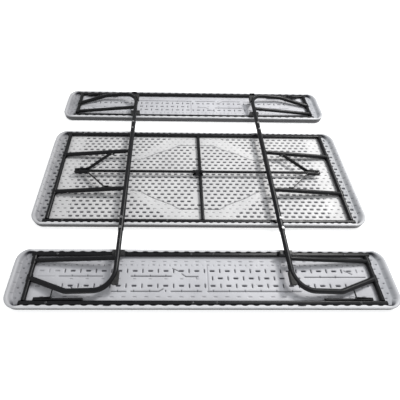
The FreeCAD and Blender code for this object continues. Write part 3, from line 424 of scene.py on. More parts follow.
@dataclass(frozen=True)
class MouldedPlastic:
    """Pale blow-moulded polyethylene, pebbled and slightly wavy, with painted shade and a painted
    highlight.
    """

    name: str = "moulded_polyethylene"
    table_light: Colour = (0.63, 0.625, 0.625)
    table_shade: Colour = (0.53, 0.525, 0.53)
    seat_light: Colour = (0.56, 0.56, 0.585)
    seat_shade: Colour = (0.47, 0.47, 0.495)
    # Painted highlight on the top of the lip.
    rim: Colour = (0.63, 0.63, 0.645)
    scuffed: Colour = (0.38, 0.38, 0.39)
    speckled: Colour = (0.28, 0.28, 0.29)
    # Painted shade on the slopes past the end rails, deeper at the left end.
    left_end: Colour = (0.235, 0.235, 0.25)
    right_end: Colour = (0.31, 0.32, 0.34)
    # Painted shade in the marks, in the gaps beside the rails and on the wall behind the tabs.
    hollow: Colour = (0.02, 0.02, 0.03)
    # Painted shade down the outer side, darkest at its foot as a painted contact shadow.
    edge: Colour = (0.04, 0.04, 0.043)
    foot: Colour = (0.010, 0.010, 0.013)
    seat_start: float = 420.0 * MM
    rim_low: float = 33.0 * MM
    rim_high: float = 41.0 * MM
    end_low: float = 842.0 * MM
    end_high: float = 862.0 * MM
    foot_low: float = 6.0 * MM
    foot_high: float = 21.0 * MM
    edge_full: float = 35.0 * MM
    edge_gone: float = 42.0 * MM
    ground_low: float = 0.5 * MM
    ground_high: float = 3.0 * MM
    middle_half: float = 100.0 * MM
    rim_share: float = 0.9
    rim_end_share: float = 0.5
    pit_low: float = 0.05
    pit_high: float = 0.8
    pit_share: float = 0.95
    cloud: Mottle = Mottle(5.0, 4.0, 0.35, 0.68)
    scuffs: Mottle = Mottle(1.0, 6.0, 0.6, 0.74, 0.0, 0.4, 0.7, (9.0, 60.0, 40.0))
    speckles: Mottle = Mottle(240.0, 2.0, 0.66, 0.74, 0.0, 0.3)
    patches: Mottle = Mottle(16.0, 4.0, 0.3, 0.7, 0.6, 0.95)
    ragged: Mottle = Mottle(30.0, 3.0, 0.2, 0.8, -1.0 * MM, 1.0 * MM)
    gloss: Mottle = Mottle(14.0, 4.0, 0.3, 0.7, 0.42, 0.58)
    wave: Grain = Grain(22.0, 0.5 * MM, 0.6)
    pebble: Grain = Grain(900.0, 0.12 * MM, 0.8)

    def field(self, shade: Shade) -> bpy.types.NodeSocket:
        """Cloudy, scuffed tone of the skin, warmer on the table than on the seats."""
        cloud = shade.mottle(self.cloud)
        across = shade.calc("ABSOLUTE", shade.axis(shade.where, "Y"))
        seat = shade.ramp(across, self.seat_start - MM, self.seat_start + MM)
        tone = shade.blend(seat, shade.blend(cloud, self.table_light, self.table_shade),
                           shade.blend(cloud, self.seat_light, self.seat_shade))
        tone = shade.blend(shade.mottle(self.scuffs), tone, self.scuffed)
        return shade.blend(shade.mottle(self.speckles), tone, self.speckled)

    def side_band(self, shade: Shade, height: bpy.types.NodeSocket,
                  tone: bpy.types.NodeSocket) -> bpy.types.NodeSocket:
        """Tone of the skin with a dark, ragged band of painted shade over the panel's outer side,
        darkest at its foot as a painted contact shadow.
        """
        side = shade.add("ShaderNodeAttribute", attribute_name="side").outputs["Fac"]
        ragged = shade.calc("ADD", height, shade.mottle(self.ragged))
        band = shade.calc("MULTIPLY", shade.ramp(ragged, self.edge_full, self.edge_gone, 1.0, 0.0),
                          shade.ramp(ragged, self.ground_low, self.ground_high))
        depth = shade.ramp(ragged, self.foot_low, self.foot_high)
        side_shade_tone = shade.blend(depth, self.foot, self.edge)
        return shade.blend(shade.calc("MULTIPLY", band, side), tone, side_shade_tone)

    def material(self) -> bpy.types.Material:
        """Build the material.

        Painted shade dims the skin past the end rails, more at the left end, and darkens the marks,
        the gaps beside the rails and the outer side towards its bottom; a painted highlight makes
        the top of the lip palest.
        """
        shade = Shade(self.name)
        along = shade.axis(shade.where, "X")
        height = shade.axis(shade.where, "Z")
        # Painted shade past the end rails, laid on in patches.
        end = shade.ramp(shade.calc("ABSOLUTE", along), self.end_low, self.end_high)
        end_shade = shade.blend(shade.ramp(along, -self.middle_half, self.middle_half),
                             self.left_end, self.right_end)
        patchy = shade.calc("MULTIPLY", end, shade.mottle(self.patches))
        tone = shade.blend(patchy, self.field(shade), end_shade)
        # Painted highlight on top of the lip, weaker at the ends.
        rim = shade.calc("MULTIPLY",
                         shade.ramp(height, self.rim_low, self.rim_high, 0.0, self.rim_share),
                         shade.ramp(end, 0.0, 1.0, 1.0, self.rim_end_share))
        tone = shade.blend(rim, tone, self.rim)
        # Painted shade in the marks and the narrow recesses, carried by the pit attribute.
        pit = shade.add("ShaderNodeAttribute", attribute_name="pit").outputs["Fac"]
        recess_shade_mask = shade.ramp(pit, self.pit_low, self.pit_high, 0.0, self.pit_share)
        tone = self.side_band(shade, height, shade.blend(recess_shade_mask, tone, self.hollow))
        normal = shade.grain(self.pebble, shade.grain(self.wave))
        return shade.finish(Base_Color=tone, Roughness=shade.mottle(self.gloss), Normal=normal,
                            IOR=1.5, Specular_IOR_Level=0.4)


@dataclass(frozen=True)
class PowderCoat:
    """Satin black powder coat on steel tube: orange peel, dust on top and a few scuffs."""

    name: str = "powder_coat"
    dark: Colour = (0.003, 0.003, 0.004)
    pale: Colour = (0.005, 0.005, 0.006)
    dust: Colour = (0.013, 0.013, 0.016)
    scraped: Colour = (0.06, 0.06, 0.065)
    upward_low: float = 0.3
    dust_share: float = 0.5
    cloud: Mottle = Mottle(18.0, 4.0, 0.35, 0.7)
    dusting: Mottle = Mottle(45.0, 5.0, 0.42, 0.75, rough=0.65)
    scrapes: Mottle = Mottle(1.0, 5.0, 0.70, 0.76, 0.0, 0.6, 0.7, (30.0, 55.0, 140.0))
    gloss: Mottle = Mottle(26.0, 4.0, 0.3, 0.72, 0.28, 0.42)
    peel: Grain = Grain(520.0, 0.16 * MM, 0.7)

    def material(self) -> bpy.types.Material:
        """Build the material."""
        shade = Shade(self.name)
        tone = shade.blend(shade.mottle(self.cloud), self.dark, self.pale)
        top = shade.ramp(shade.upward(), self.upward_low, 1.0, 0.0, self.dust_share)
        tone = shade.blend(shade.calc("MULTIPLY", top, shade.mottle(self.dusting)), tone, self.dust)
        tone = shade.blend(shade.mottle(self.scrapes), tone, self.scraped)
        return shade.finish(Base_Color=tone, Roughness=shade.mottle(self.gloss),
                            Normal=shade.grain(self.peel), IOR=1.5, Specular_IOR_Level=0.25)


@dataclass(frozen=True)
class PlatedSteel:
    """Zinc-plated steel of screws, bolts and buttons, dulled in patches."""

    name: str = "zinc_plate"
    bright: Colour = (0.36, 0.36, 0.37)
    dull: Colour = (0.18, 0.178, 0.175)
    patches: Mottle = Mottle(160.0, 4.0, 0.35, 0.65)
    gloss_low: float = 0.4
    gloss_high: float = 0.6
    grain: Grain = Grain(1500.0, 0.06 * MM, 0.6)

    def material(self) -> bpy.types.Material:
        """Build the material."""
        shade = Shade(self.name)
        patches = shade.mottle(self.patches)
        tone = shade.blend(patches, self.bright, self.dull)
        rough = shade.ramp(patches, 0.0, 1.0, self.gloss_low, self.gloss_high)
        return shade.finish(Base_Color=tone, Roughness=rough, Normal=shade.grain(self.grain),
                            Metallic=0.9)


@dataclass(frozen=True)
class BlackMoulding:
    """Black moulded plastic or rubber with a stippled skin."""

    name: str
    tone: Colour
    worn: Colour
    gloss: Mottle
    stipple: Grain
    wear: Mottle = Mottle(70.0, 5.0, 0.45, 0.78, rough=0.65)

    def material(self) -> bpy.types.Material:
        """Build the material."""
        shade = Shade(self.name)
        tone = shade.blend(shade.mottle(self.wear), self.tone, self.worn)
        return shade.finish(Base_Color=tone, Roughness=shade.mottle(self.gloss),
                            Normal=shade.grain(self.stipple))


class Finishes:
    """The object's finishes, one per material slot."""

    def __init__(self) -> None:
        """Build every material once."""
        cradles = BlackMoulding("black_moulding", (0.012, 0.012, 0.013), (0.035, 0.035, 0.037),
                                Mottle(40.0, 3.0, 0.3, 0.7, 0.4, 0.6), Grain(800.0, 0.18 * MM, 0.8))
        pads = BlackMoulding("foot_rubber", (0.014, 0.014, 0.014), (0.05, 0.048, 0.045),
                             Mottle(40.0, 3.0, 0.3, 0.7, 0.65, 0.85), Grain(800.0, 0.3 * MM, 0.8))
        coated = PlatedSteel("coated_zinc", (0.16, 0.16, 0.165), (0.05, 0.05, 0.052))
        self.materials: dict[Slot, bpy.types.Material] = {
            Slot.PANEL: MouldedPlastic().material(),
            Slot.STEEL: PowderCoat().material(),
            Slot.PLATED: PlatedSteel().material(),
            Slot.PLASTIC: cradles.material(),
            Slot.RUBBER: pads.material(),
        }
        self.coated_screws = coated.material()

    def dress(self, piece: bpy.types.Object, slot: Slot) -> None:
        """Give an object the one finish of a slot."""
        piece.data.materials.clear()
        piece.data.materials.append(self.materials[slot])

    def dress_frame(self, frame: dict) -> None:
        """Dress every CAD node in its own slot's finish."""
        slots = {row["node"]: Slot(row["material_slot"]) for row in frame["record"]["subparts"]}
        for name, node in frame["nodes"].items():
            self.dress(node, slots[name])

    def weather(self, piece: bpy.types.Object) -> None:
        """Give a plated piece the duller plating of screws that were coated over."""
        piece.data.materials.clear()
        piece.data.materials.append(self.coated_screws)

    def place(self, piece: bpy.types.Object, slot: Slot, body: str, *stands_for: str) -> None:
        """Dress a new piece, put it on its body and hide the CAD nodes it stands for."""
        self.dress(piece, slot)
        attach(piece, body)
        if stands_for:
            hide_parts(*stands_for)
        LOG.info("%s on %s, %d faces", piece.name, body, len(piece.data.polygons))


# --- Moulded panels -------------------------------------------------------------------------------

def trough(distance: np.ndarray, radius: float, wall: float = 3.0 * MM) -> np.ndarray:
    """Depth from 0 to 1 of a mark: full within its radius, gone one wall further out."""
    return smooth((radius + wall / 2 - distance) / wall)


def wrapped(value: np.ndarray, period: float, phase: float = 0.0) -> np.ndarray:
    """Signed distance from the nearest of evenly spaced places."""
    return (value - phase + period / 2) % period - period / 2


def stroke(x: np.ndarray, y: np.ndarray, start: tuple[float, float], end: tuple[float, float],
           radius: float, wall: float = 3.0 * MM) -> np.ndarray:
    """Depth of a straight mark between two points, from the distance to its centre line."""
    ax, ay = start
    dx, dy = end[0] - ax, end[1] - ay
    along = np.clip(((x - ax) * dx + (y - ay) * dy) / (dx * dx + dy * dy), 0.0, 1.0)
    return trough(np.hypot(x - ax - along * dx, y - ay - along * dy), radius, wall)


def flat_dash(x: np.ndarray, y: np.ndarray, half: float, radius: float) -> np.ndarray:
    """Depth of a dash along X centred where x and y are 0."""
    return trough(np.hypot(np.maximum(np.abs(x) - half, 0.0), y), radius)


def upright_dash(x: np.ndarray, y: np.ndarray, half: float, radius: float) -> np.ndarray:
    """Depth of a dash along Y centred where x and y are 0."""
    return flat_dash(y, x, half, radius)


@dataclass
class Panel:
    """A blow-moulded panel: a shell with a raised lip, and the dimpled skin inside it."""

    node: str
    body: str
    length: float
    width: float
    middle: float
    corner: float
    top: float
    tab_pitch: float
    cell_x: float
    cell_y: float
    rail_end: float
    # Beyond gap_line across the panel the skin between rail and lip gets painted shade.
    gap_line: float
    skin: float = 23.0 * MM
    lip: float = 12.0 * MM
    face_round: float = 13.0 * MM
    tab_reach: float = 3.7 * MM
    slope: float = 25.0 * MM
    pit_depth: float = 6.5 * MM
    rim_depth: float = 2.5 * MM
    face_steps: int = 7
    # Rows of the outer side and the first row of the inner wall, where the finish paints shade.
    side_rows: int = 10
    wall_row: int = 16
    rim_step: float = 3.5 * MM
    floor: float = 12.0 * MM
    phase_x: float = 0.0
    phase_y: float = 0.0
    tab_steps: int = 10
    tab_swell: float = 1.5
    tab_gap: float = 0.15
    tab_fade: float = 20.0 * MM
    corner_steps: int = 26
    soft_gain: float = 1.4
    side_in: tuple[float, ...] = (0.3, 0.8, 1.5, 3.4, 6.0, 8.6)
    side_down: tuple[float, ...] = (18.0, 5.5, 2.6, 0.7, 0.0, 0.0)
    steep_in: tuple[float, ...] = (-2.0, -0.6, 0.0, 0.3, 0.5, 0.8, 1.0, 1.2)
    crown_down: tuple[float, ...] = (0.15, 0.9, 2.6)
    wall_share: tuple[float, ...] = (0.35, 0.55, 0.75, 0.9)
    slope_share: tuple[float, ...] = (0.06, 0.2, 0.35, 0.5, 0.65, 0.8, 0.9, 1.0)
    slope_lead: float = 2.0 * MM
    tuck: float = 0.4 * MM
    shelf: float = 3.0 * MM
    shelf_step: float = 2.0 * MM
    slab_stand: float = 0.5 * MM
    line_gap: float = 0.3

    def marks(self, x: np.ndarray, y: np.ndarray) -> np.ndarray:
        """Depth of the moulded marks from 0 to 1; each kind of panel has its own."""
        return np.zeros_like(x)

    def rim_marks(self, x: np.ndarray, y: np.ndarray) -> np.ndarray:
        """Depth of the marks that reach up the slope at the ends, from 0 to 1."""
        return np.zeros_like(x)

    def outline(self) -> tuple[np.ndarray, np.ndarray, np.ndarray, np.ndarray]:
        """Rounded rectangle round the panel, counter-clockwise seen from above.

        Long sides are straight runs with tabs, corners are quarter circles of the corner radius.

        Returns:
            Points, outward directions, how much of a tab is there, and how soft the lip's inner
            slope is, each from 0 to 1.
        """
        hx, hy, radius = self.length / 2, self.width / 2, self.corner
        run = 2 * (hx - radius)
        steps = int(round(run / self.tab_pitch * self.tab_steps))
        long_x = np.linspace(-(hx - radius), hx - radius, steps, endpoint=False)
        short_y = np.arange(-(hy - radius), hy - radius - 1e-6, self.rim_step)
        points, normals, tabs, soft = [], [], [], []
        corner_turn = np.linspace(0.0, QUARTER, self.corner_steps, endpoint=False)
        for quarter in range(4):
            sign_x, sign_y = ((1, -1), (1, 1), (-1, 1), (-1, -1))[quarter]
            if quarter % 2 == 0:
                side = -1 if quarter == 0 else 1
                line = np.stack([-side * long_x, np.full(steps, side * hy)], axis=1)
                out = np.tile([0.0, float(side)], (steps, 1))
                there = 0.5 + 0.5 * np.cos(TAU * line[:, 0] / self.tab_pitch)
                fade = smooth((self.rail_end - np.abs(line[:, 0])) / self.tab_fade)
                tabs.append(smooth(there * self.tab_swell - self.tab_gap) * fade)
                soft.append(np.zeros(steps))
            else:
                side = 1 if quarter == 1 else -1
                line = np.stack([np.full(len(short_y), side * hx), side * short_y], axis=1)
                out = np.tile([float(side), 0.0], (len(short_y), 1))
                tabs.append(np.zeros(len(short_y)))
                soft.append(np.ones(len(short_y)))
            points.append(line)
            normals.append(out)
            turn = (quarter - 1) * QUARTER + corner_turn
            out = np.stack([np.cos(turn), np.sin(turn)], axis=1)
            centre = np.array([sign_x * (hx - radius), sign_y * (hy - radius)])
            points.append(centre + radius * out)
            normals.append(out)
            share = corner_turn / QUARTER
            soft.append(smooth((share if quarter % 2 == 0 else 1.0 - share) * self.soft_gain))
            tabs.append(np.zeros(len(turn)))
        return (np.concatenate(points), np.concatenate(normals), np.concatenate(tabs),
                np.concatenate(soft))

    def section(self, tab: np.ndarray, soft: np.ndarray) -> tuple[np.ndarray, np.ndarray]:
        """Section through the shell at each place round it.

        From the face a quarter circle runs up to the side, a rounded lip follows, and the inner
        wall goes down either steeply behind a tab or in an S-shaped slope.

        Args:
            tab: how much of a tab is there.
            soft: how much of a slope is there.

        Returns:
            Distance inwards and height, one row per step of the section.
        """
        low = np.linspace(0.0, QUARTER, self.face_steps)
        inward = [self.face_round * (1 - np.sin(low)), np.array(self.side_in) * MM]
        height = [self.face_round * (1 - np.cos(low)), self.top - np.array(self.side_down) * MM]
        ones = np.ones_like(tab)
        inward_rows = [value * ones for value in np.concatenate(inward)]
        height_rows = [value * ones for value in np.concatenate(height)]
        edge = self.lip + self.tab_reach * tab
        drop = self.top - self.skin
        steep_down = [*(step * MM for step in self.crown_down),
                      *(share * drop for share in self.wall_share), drop + self.tuck]
        for step, down, share in zip(self.steep_in, steep_down, self.slope_share):
            slope_in = self.lip - self.slope_lead + self.slope * share
            slope_down = (drop + self.tuck) * smooth(share)
            inward_rows.append((edge + step * MM) * (1 - soft) + slope_in * soft)
            height_rows.append(self.top - down * (1 - soft) - slope_down * soft)
        shelf = self.lip + self.slope + self.shelf
        for value, level in ((shelf, self.skin - self.tuck), (shelf + self.shelf_step, self.floor)):
            inward_rows.append(value * ones)
            height_rows.append(level * ones)
        return np.array(inward_rows), np.array(height_rows)

    def shell(self) -> bpy.types.Object:
        """Side, lip and face as one closed tray: outline - inward * outward, at each height."""
        outline, normal, tab, soft = self.outline()
        inward, height = self.section(tab, soft)
        place = outline[None] - inward[..., None] * normal[None]
        points = np.concatenate([place, height[..., None]], axis=-1)
        on_slope = (inward > self.lip) & (height > self.floor)
        dent = self.rim_marks(points[..., 0], points[..., 1]) * on_slope
        points[..., 2] -= self.rim_depth * dent
        points[..., 1] += self.middle
        rows, columns = points.shape[:2]
        quads = grid_quads(rows, columns, wrap=True)
        caps = [np.arange(columns)[::-1], (rows - 1) * columns + np.arange(columns)]
        piece = make_piece(f"{self.node}_shell", points.reshape(-1, 3), quads, caps, 50.0)
        # Painted shade on the steep inner wall behind the tabs, stored with the dents of the rim
        # marks.
        wall = (np.arange(rows) >= self.wall_row)[:, None] * (1.0 - soft)[None]
        self.write_layer(piece, "pit", np.maximum(dent, wall))
        # Rows of the outer side, which the finish darkens with painted shade.
        outside = np.arange(rows) < self.side_rows
        self.write_layer(piece, "side", np.repeat(outside, columns))
        return piece

    @staticmethod
    def write_layer(piece: bpy.types.Object, name: str, values: np.ndarray) -> None:
        """Store a value at each point, for the finish."""
        layer = piece.data.attributes.new(name, "FLOAT", "POINT")
        layer.data.foreach_set("value", np.ascontiguousarray(values, dtype=np.float32).ravel())

    def field(self, name: str, low: float, high: float) -> bpy.types.Object:
        """Dimpled skin between two places along X, as a closed slab.

        Its height is the skin's level less the pit depth times the depth of the marks.

        Args:
            name: name of the piece.
            low: where it starts along X.
            high: where it ends.

        Returns:
            The slab, with the depth of its marks and the painted shade of the gaps beside the rails
            in the attribute "pit".
        """
        half = self.width / 2 - self.margin()
        x_line = self.lines(low, high, self.cell_x, self.phase_x)
        y_line = self.lines(-half, half, self.cell_y, self.phase_y)
        x, y = np.meshgrid(x_line, y_line, indexing="ij")
        pit = np.clip(self.marks(x, y), 0.0, 1.0)
        level = self.skin - self.pit_depth * pit
        points = np.stack([x, y + self.middle, level], axis=-1).reshape(-1, 3)
        nx, ny = len(x_line), len(y_line)
        quads = grid_quads(nx, ny)[:, ::-1]
        index = np.arange(nx * ny).reshape(nx, ny)
        border = np.concatenate([index[:-1, 0], index[-1, :-1], index[:0:-1, -1], index[0, :0:-1]])
        below = points[border].copy()
        below[:, 2] = self.floor + self.slab_stand
        under = nx * ny + np.arange(len(border))
        wall = np.stack([border, under, np.roll(under, -1), np.roll(border, -1)], axis=1)
        piece = make_piece(name, np.concatenate([points, below]), np.concatenate([quads, wall]),
                           [under[::-1]], 75.0)
        # Painted shade in the narrow gaps between the rails and the lip.
        gap_shade = (np.abs(y) > self.gap_line) & (np.abs(x) < self.rail_end)
        dark = np.concatenate([np.maximum(pit, gap_shade).ravel(), np.zeros(len(border))])
        self.write_layer(piece, "pit", dark)
        return piece

    def margin(self) -> float:
        """Inset at which a square corner still lies under the rounded lip."""
        return self.corner - (self.corner - self.slope_lead) / math.sqrt(2.0)

    def lines(self, low: float, high: float, cell: float, phase: float) -> np.ndarray:
        """Grid lines on whole cells from a phase between two ends, with the ends themselves."""
        first = math.ceil((low - phase) / cell + self.line_gap)
        last = math.floor((high - phase) / cell - self.line_gap)
        return np.concatenate([[low], phase + np.arange(first, last + 1) * cell, [high]])

    def build(self, finishes: Finishes) -> None:
        """Make the shell and the skin and put them on their body."""
        finishes.place(self.shell(), Slot.PANEL, self.body, self.node)
        end = self.length / 2 - self.margin()
        for name, low, high in self.spans(end):
            finishes.place(self.field(name, low, high), Slot.PANEL, self.body)

    def spans(self, end: float) -> list[tuple[str, float, float]]:
        """Pieces that the skin is made in."""
        return [(f"{self.node}_skin", -end, end)]


@dataclass
class TableTop(Panel):
    """Table top: staggered dashes, an eight-sided groove and fainter patches outside it."""

    pitch: float = TABLE_PITCH
    row: float = TABLE_ROW
    row_phase: float = TABLE_ROW_PHASE
    strong: tuple[float, float] = (7.0 * MM, 3.9 * MM)
    fine: tuple[float, float] = (5.2 * MM, 1.8 * MM)
    last: tuple[float, float] = (5.0 * MM, 2.6 * MM)
    last_inset: float = 25.0 * MM
    last_depth: float = 0.7
    calm_depth: float = 0.75
    faint_depth: float = 0.5
    crossed_depth: float = 0.6
    groove_depth: float = 0.75
    groove_radius: float = 1.6 * MM
    groove_x: tuple[float, ...] = (0.0, 0.115, 0.157, 0.266, 0.339, 0.374, 0.400)
    groove_y: tuple[float, ...] = (0.244, 0.242, 0.214, 0.168, 0.125, 0.118, 0.116)
    faint_lean: float = 1.467
    faint_reach: float = 0.61
    strong_reach: float = 0.728
    rail_line: float = 0.826
    slope_start: float = 0.877
    plain_half: float = 0.035
    plain_low: float = 0.133
    plain_high: float = 0.203
    side_reach: float = 0.312

    def lattice(self, x: np.ndarray, y: np.ndarray, half: float, radius: float) -> np.ndarray:
        """Depth of dashes in rows one row pitch apart, every other row moved by half a pitch."""
        line = np.round((y - self.row_phase) / self.row)
        across = y - self.row_phase - line * self.row
        along = wrapped(x, self.pitch, ((line + 1) % 2) * self.pitch / 2)
        return flat_dash(along, across, half, radius)

    def marks(self, x: np.ndarray, y: np.ndarray) -> np.ndarray:
        """Depth of the table's marks.

        Strong dashes fill the middle.  Just outside the groove, and between the strong dashes and
        the end rails, they are finer; beside the crossbar there are two plain patches.
        """
        strong = self.lattice(x, y, *self.strong)
        fine = self.lattice(x, y, *self.fine)
        ax, ay = np.abs(x), np.abs(y)
        beyond = ay > np.interp(ax, self.groove_x, self.groove_y)
        faint = beyond & (ax + self.faint_lean * ay < self.faint_reach)
        calm = (ax > self.strong_reach) & (ax < self.rail_line)
        depth = np.where(calm, self.calm_depth * fine,
                         np.where(faint, self.faint_depth * fine, strong))
        plain = (ax < self.plain_half) & (ay > self.plain_low) & (ay < self.plain_high)
        depth = np.where(plain | (ay > self.side_reach) | (ax > self.slope_start), 0.0, depth)
        corners = list(zip(self.groove_x, self.groove_y))
        groove = np.maximum.reduce([stroke(ax, ay, start, end, self.groove_radius)
                                    for start, end in zip(corners[:-1], corners[1:])])
        crossed = np.where(groove > 0.0, self.crossed_depth, 1.0)
        return np.maximum(depth * crossed, self.groove_depth * groove)

    def rim_marks(self, x: np.ndarray, y: np.ndarray) -> np.ndarray:
        """Last column of dashes, on the slope past each end rail."""
        there = (np.abs(x) > self.slope_start) & (np.abs(y) < self.side_reach - self.last_inset)
        return np.where(there, self.last_depth * self.lattice(x, y, *self.last), 0.0)

    def spans(self, end: float) -> list[tuple[str, float, float]]:
        """The skin is made in two halves that meet near the crossbar."""
        return [("table_skin_left", -end, 0.0), ("table_skin_right", 0.0, end)]


@dataclass
class Seat(Panel):
    """Bench seat: rows of crossed dashes, long grooves with bumps and zigzags."""

    facing: int = 1
    period: float = SEAT_PITCH
    first: float = SEAT_FIRST
    row: float = SEAT_ROW
    small: float = 54.0 * MM
    end_reach: float = 0.80
    lying: tuple[float, float] = (9.0 * MM, 3.2 * MM)
    standing: tuple[float, float] = (7.0 * MM, 2.6 * MM)
    middle_row_end: float = 0.48
    left_fade: tuple[float, float] = (0.66, 0.6)
    right_fade: tuple[float, float] = (0.70, 0.4)
    fade_run: float = 0.06
    groove_depth: float = 0.8
    bump: tuple[float, float] = (2.5 * MM, 2.6 * MM)
    bump_rise: float = 2.0 * MM
    thin: tuple[float, float] = (8.5 * MM, 1.2 * MM)
    thin_rows: tuple[float, float] = (-0.088, 0.083)
    pair_lying: tuple[float, float, float] = (5.0 * MM, 1.2 * MM, 0.066)
    pair_standing: tuple[float, float, float] = (3.0 * MM, 1.2 * MM, 0.064)
    low_row: tuple[float, float, float] = (7.0 * MM, 1.2 * MM, -0.004)
    low_reach: float = -0.68
    thin_depth: float = 0.7
    scatter_row: float = 23.5 * MM
    scatter_pitch: float = 34.0 * MM
    scatter_dash: tuple[float, float] = (3.2 * MM, 2.2 * MM)
    scatter_start: float = 0.840
    scatter_half: float = 0.11
    scatter_depth: float = 0.62
    rim_start: float = 0.879
    rim_share: float = 0.6
    grooves: tuple[tuple[float, float, float, float, float], ...] = (
        (-0.820, 0.010, -0.717, 0.010, 0.8), (-0.696, 0.010, -0.486, 0.010, 1.5),
        (-0.350, 0.010, -0.154, 0.010, 2.0), (-0.104, 0.022, -0.084, 0.008, 1.8),
        (-0.084, 0.008, -0.024, 0.008, 1.8), (-0.034, 0.008, -0.034, 0.000, 1.4),
        (-0.150, 0.048, -0.115, 0.034, 1.8), (-0.120, 0.034, -0.098, 0.034, 1.5),
        (0.022, 0.062, 0.022, -0.067, 1.3), (-0.437, -0.062, -0.367, -0.062, 1.7),
        (-0.346, -0.062, -0.213, -0.062, 1.7), (-0.213, -0.062, -0.192, -0.050, 1.7),
        (-0.157, -0.062, -0.010, -0.062, 1.7), (0.018, -0.062, 0.463, -0.062, 1.7),
        (0.495, 0.006, 0.680, 0.006, 1.5), (0.680, 0.006, 0.800, 0.006, 0.8),
        (0.700, 0.038, 0.736, 0.020, 1.7), (-0.640, -0.034, -0.612, -0.056, 1.7))
    bumped: tuple[tuple[float, float, float], ...] = (
        (-0.69, -0.49, 0.010), (-0.345, -0.16, 0.010), (-0.43, -0.02, -0.062), (0.03, 0.46, -0.062),
        (0.50, 0.67, 0.006))

    def crosses(self, u: np.ndarray, v: np.ndarray) -> np.ndarray:
        """Depth of three rows that alternate a dash along the seat with one across it."""
        depth = np.zeros_like(u)
        for level, start in ((self.row, self.first), (-self.row, self.first),
                             (0.0, self.first + self.period / 2)):
            lying = flat_dash(wrapped(u, self.period, start), v - level, *self.lying)
            standing = upright_dash(wrapped(u, self.period, start + self.period / 2), v - level,
                                    *self.standing)
            row = np.maximum(lying, standing)
            if level == 0.0:
                row = np.where((u > self.first / 2) & (u < self.middle_row_end), row, 0.0)
            depth = np.maximum(depth, row)
        for side, (start, share) in ((-1, self.left_fade), (1, self.right_fade)):
            depth = depth * (1.0 - share * smooth((side * u - start) / self.fade_run))
        return depth

    def grooved(self, u: np.ndarray, v: np.ndarray) -> np.ndarray:
        """Depth of the long grooves and of the bumps along them."""
        depth = np.zeros_like(u)
        for start_u, start_v, end_u, end_v, radius in self.grooves:
            depth = np.maximum(depth, stroke(u, v, (start_u, start_v), (end_u, end_v), radius * MM))
        for start, end, level in self.bumped:
            along = wrapped(u, self.period, self.first)
            bump = upright_dash(along, v - level - self.bump_rise, *self.bump)
            depth = np.maximum(depth, np.where((u > start) & (u < end), bump, 0.0))
        return depth

    def marks(self, x: np.ndarray, y: np.ndarray) -> np.ndarray:
        """Depth of a seat's marks; a positive facing turns the whole pattern half round."""
        u, v = x * -self.facing, y * -self.facing
        depth = np.maximum(self.crosses(u, v), self.groove_depth * self.grooved(u, v))
        even, odd = wrapped(u, self.small), wrapped(u, self.small, self.small / 2)
        thin = np.maximum(flat_dash(even, v - self.thin_rows[0], *self.thin),
                          flat_dash(odd, v - self.thin_rows[1], *self.thin))
        half, radius, level = self.pair_lying
        pair = flat_dash(odd, v - level, half, radius)
        half, radius, level = self.pair_standing
        pair = np.maximum(pair, upright_dash(even, v - level, half, radius))
        half, radius, level = self.low_row
        low = flat_dash(wrapped(u, self.period, self.first), v - level, half, radius)
        low = np.where((u < 0.0) & (u > self.low_reach), low, 0.0)
        depth = np.maximum(depth, self.thin_depth * np.maximum.reduce([thin, pair, low]))
        return np.maximum(np.where(np.abs(u) < self.end_reach, depth, 0.0), self.scatter(u, v))

    def scatter(self, u: np.ndarray, v: np.ndarray) -> np.ndarray:
        """Depth of small staggered dashes past the end rails."""
        line = np.round(v / self.scatter_row)
        half_pitch = self.scatter_pitch / 2
        along = wrapped(u, self.scatter_pitch, (line % 2) * half_pitch + half_pitch / 2)
        dash = flat_dash(along, v - line * self.scatter_row, *self.scatter_dash)
        there = (np.abs(u) > self.scatter_start) & (np.abs(v) < self.scatter_half)
        return np.where(there, self.scatter_depth * dash, 0.0)

    def rim_marks(self, x: np.ndarray, y: np.ndarray) -> np.ndarray:
        """Outer column of the small dashes, on the slope."""
        dash = self.scatter(x * -self.facing, y * -self.facing)
        return np.where(np.abs(x) > self.rim_start, self.rim_share * dash, 0.0)


# --- Steel details --------------------------------------------------------------------------------

def rounded_outline(half_a: float, half_b: float, radius: float, steps: int = 6) -> np.ndarray:
    """Rounded rectangle, counter-clockwise: quarter circles round four corner centres."""
    turn = np.linspace(0.0, QUARTER, steps)
    corners = []
    for quarter, (sign_a, sign_b) in enumerate(((1, 1), (-1, 1), (-1, -1), (1, -1))):
        angle = turn + quarter * QUARTER
        centre = np.array([sign_a * (half_a - radius), sign_b * (half_b - radius)])
        corners.append(centre + radius * np.stack([np.cos(angle), np.sin(angle)], axis=1))
    return np.concatenate(corners)


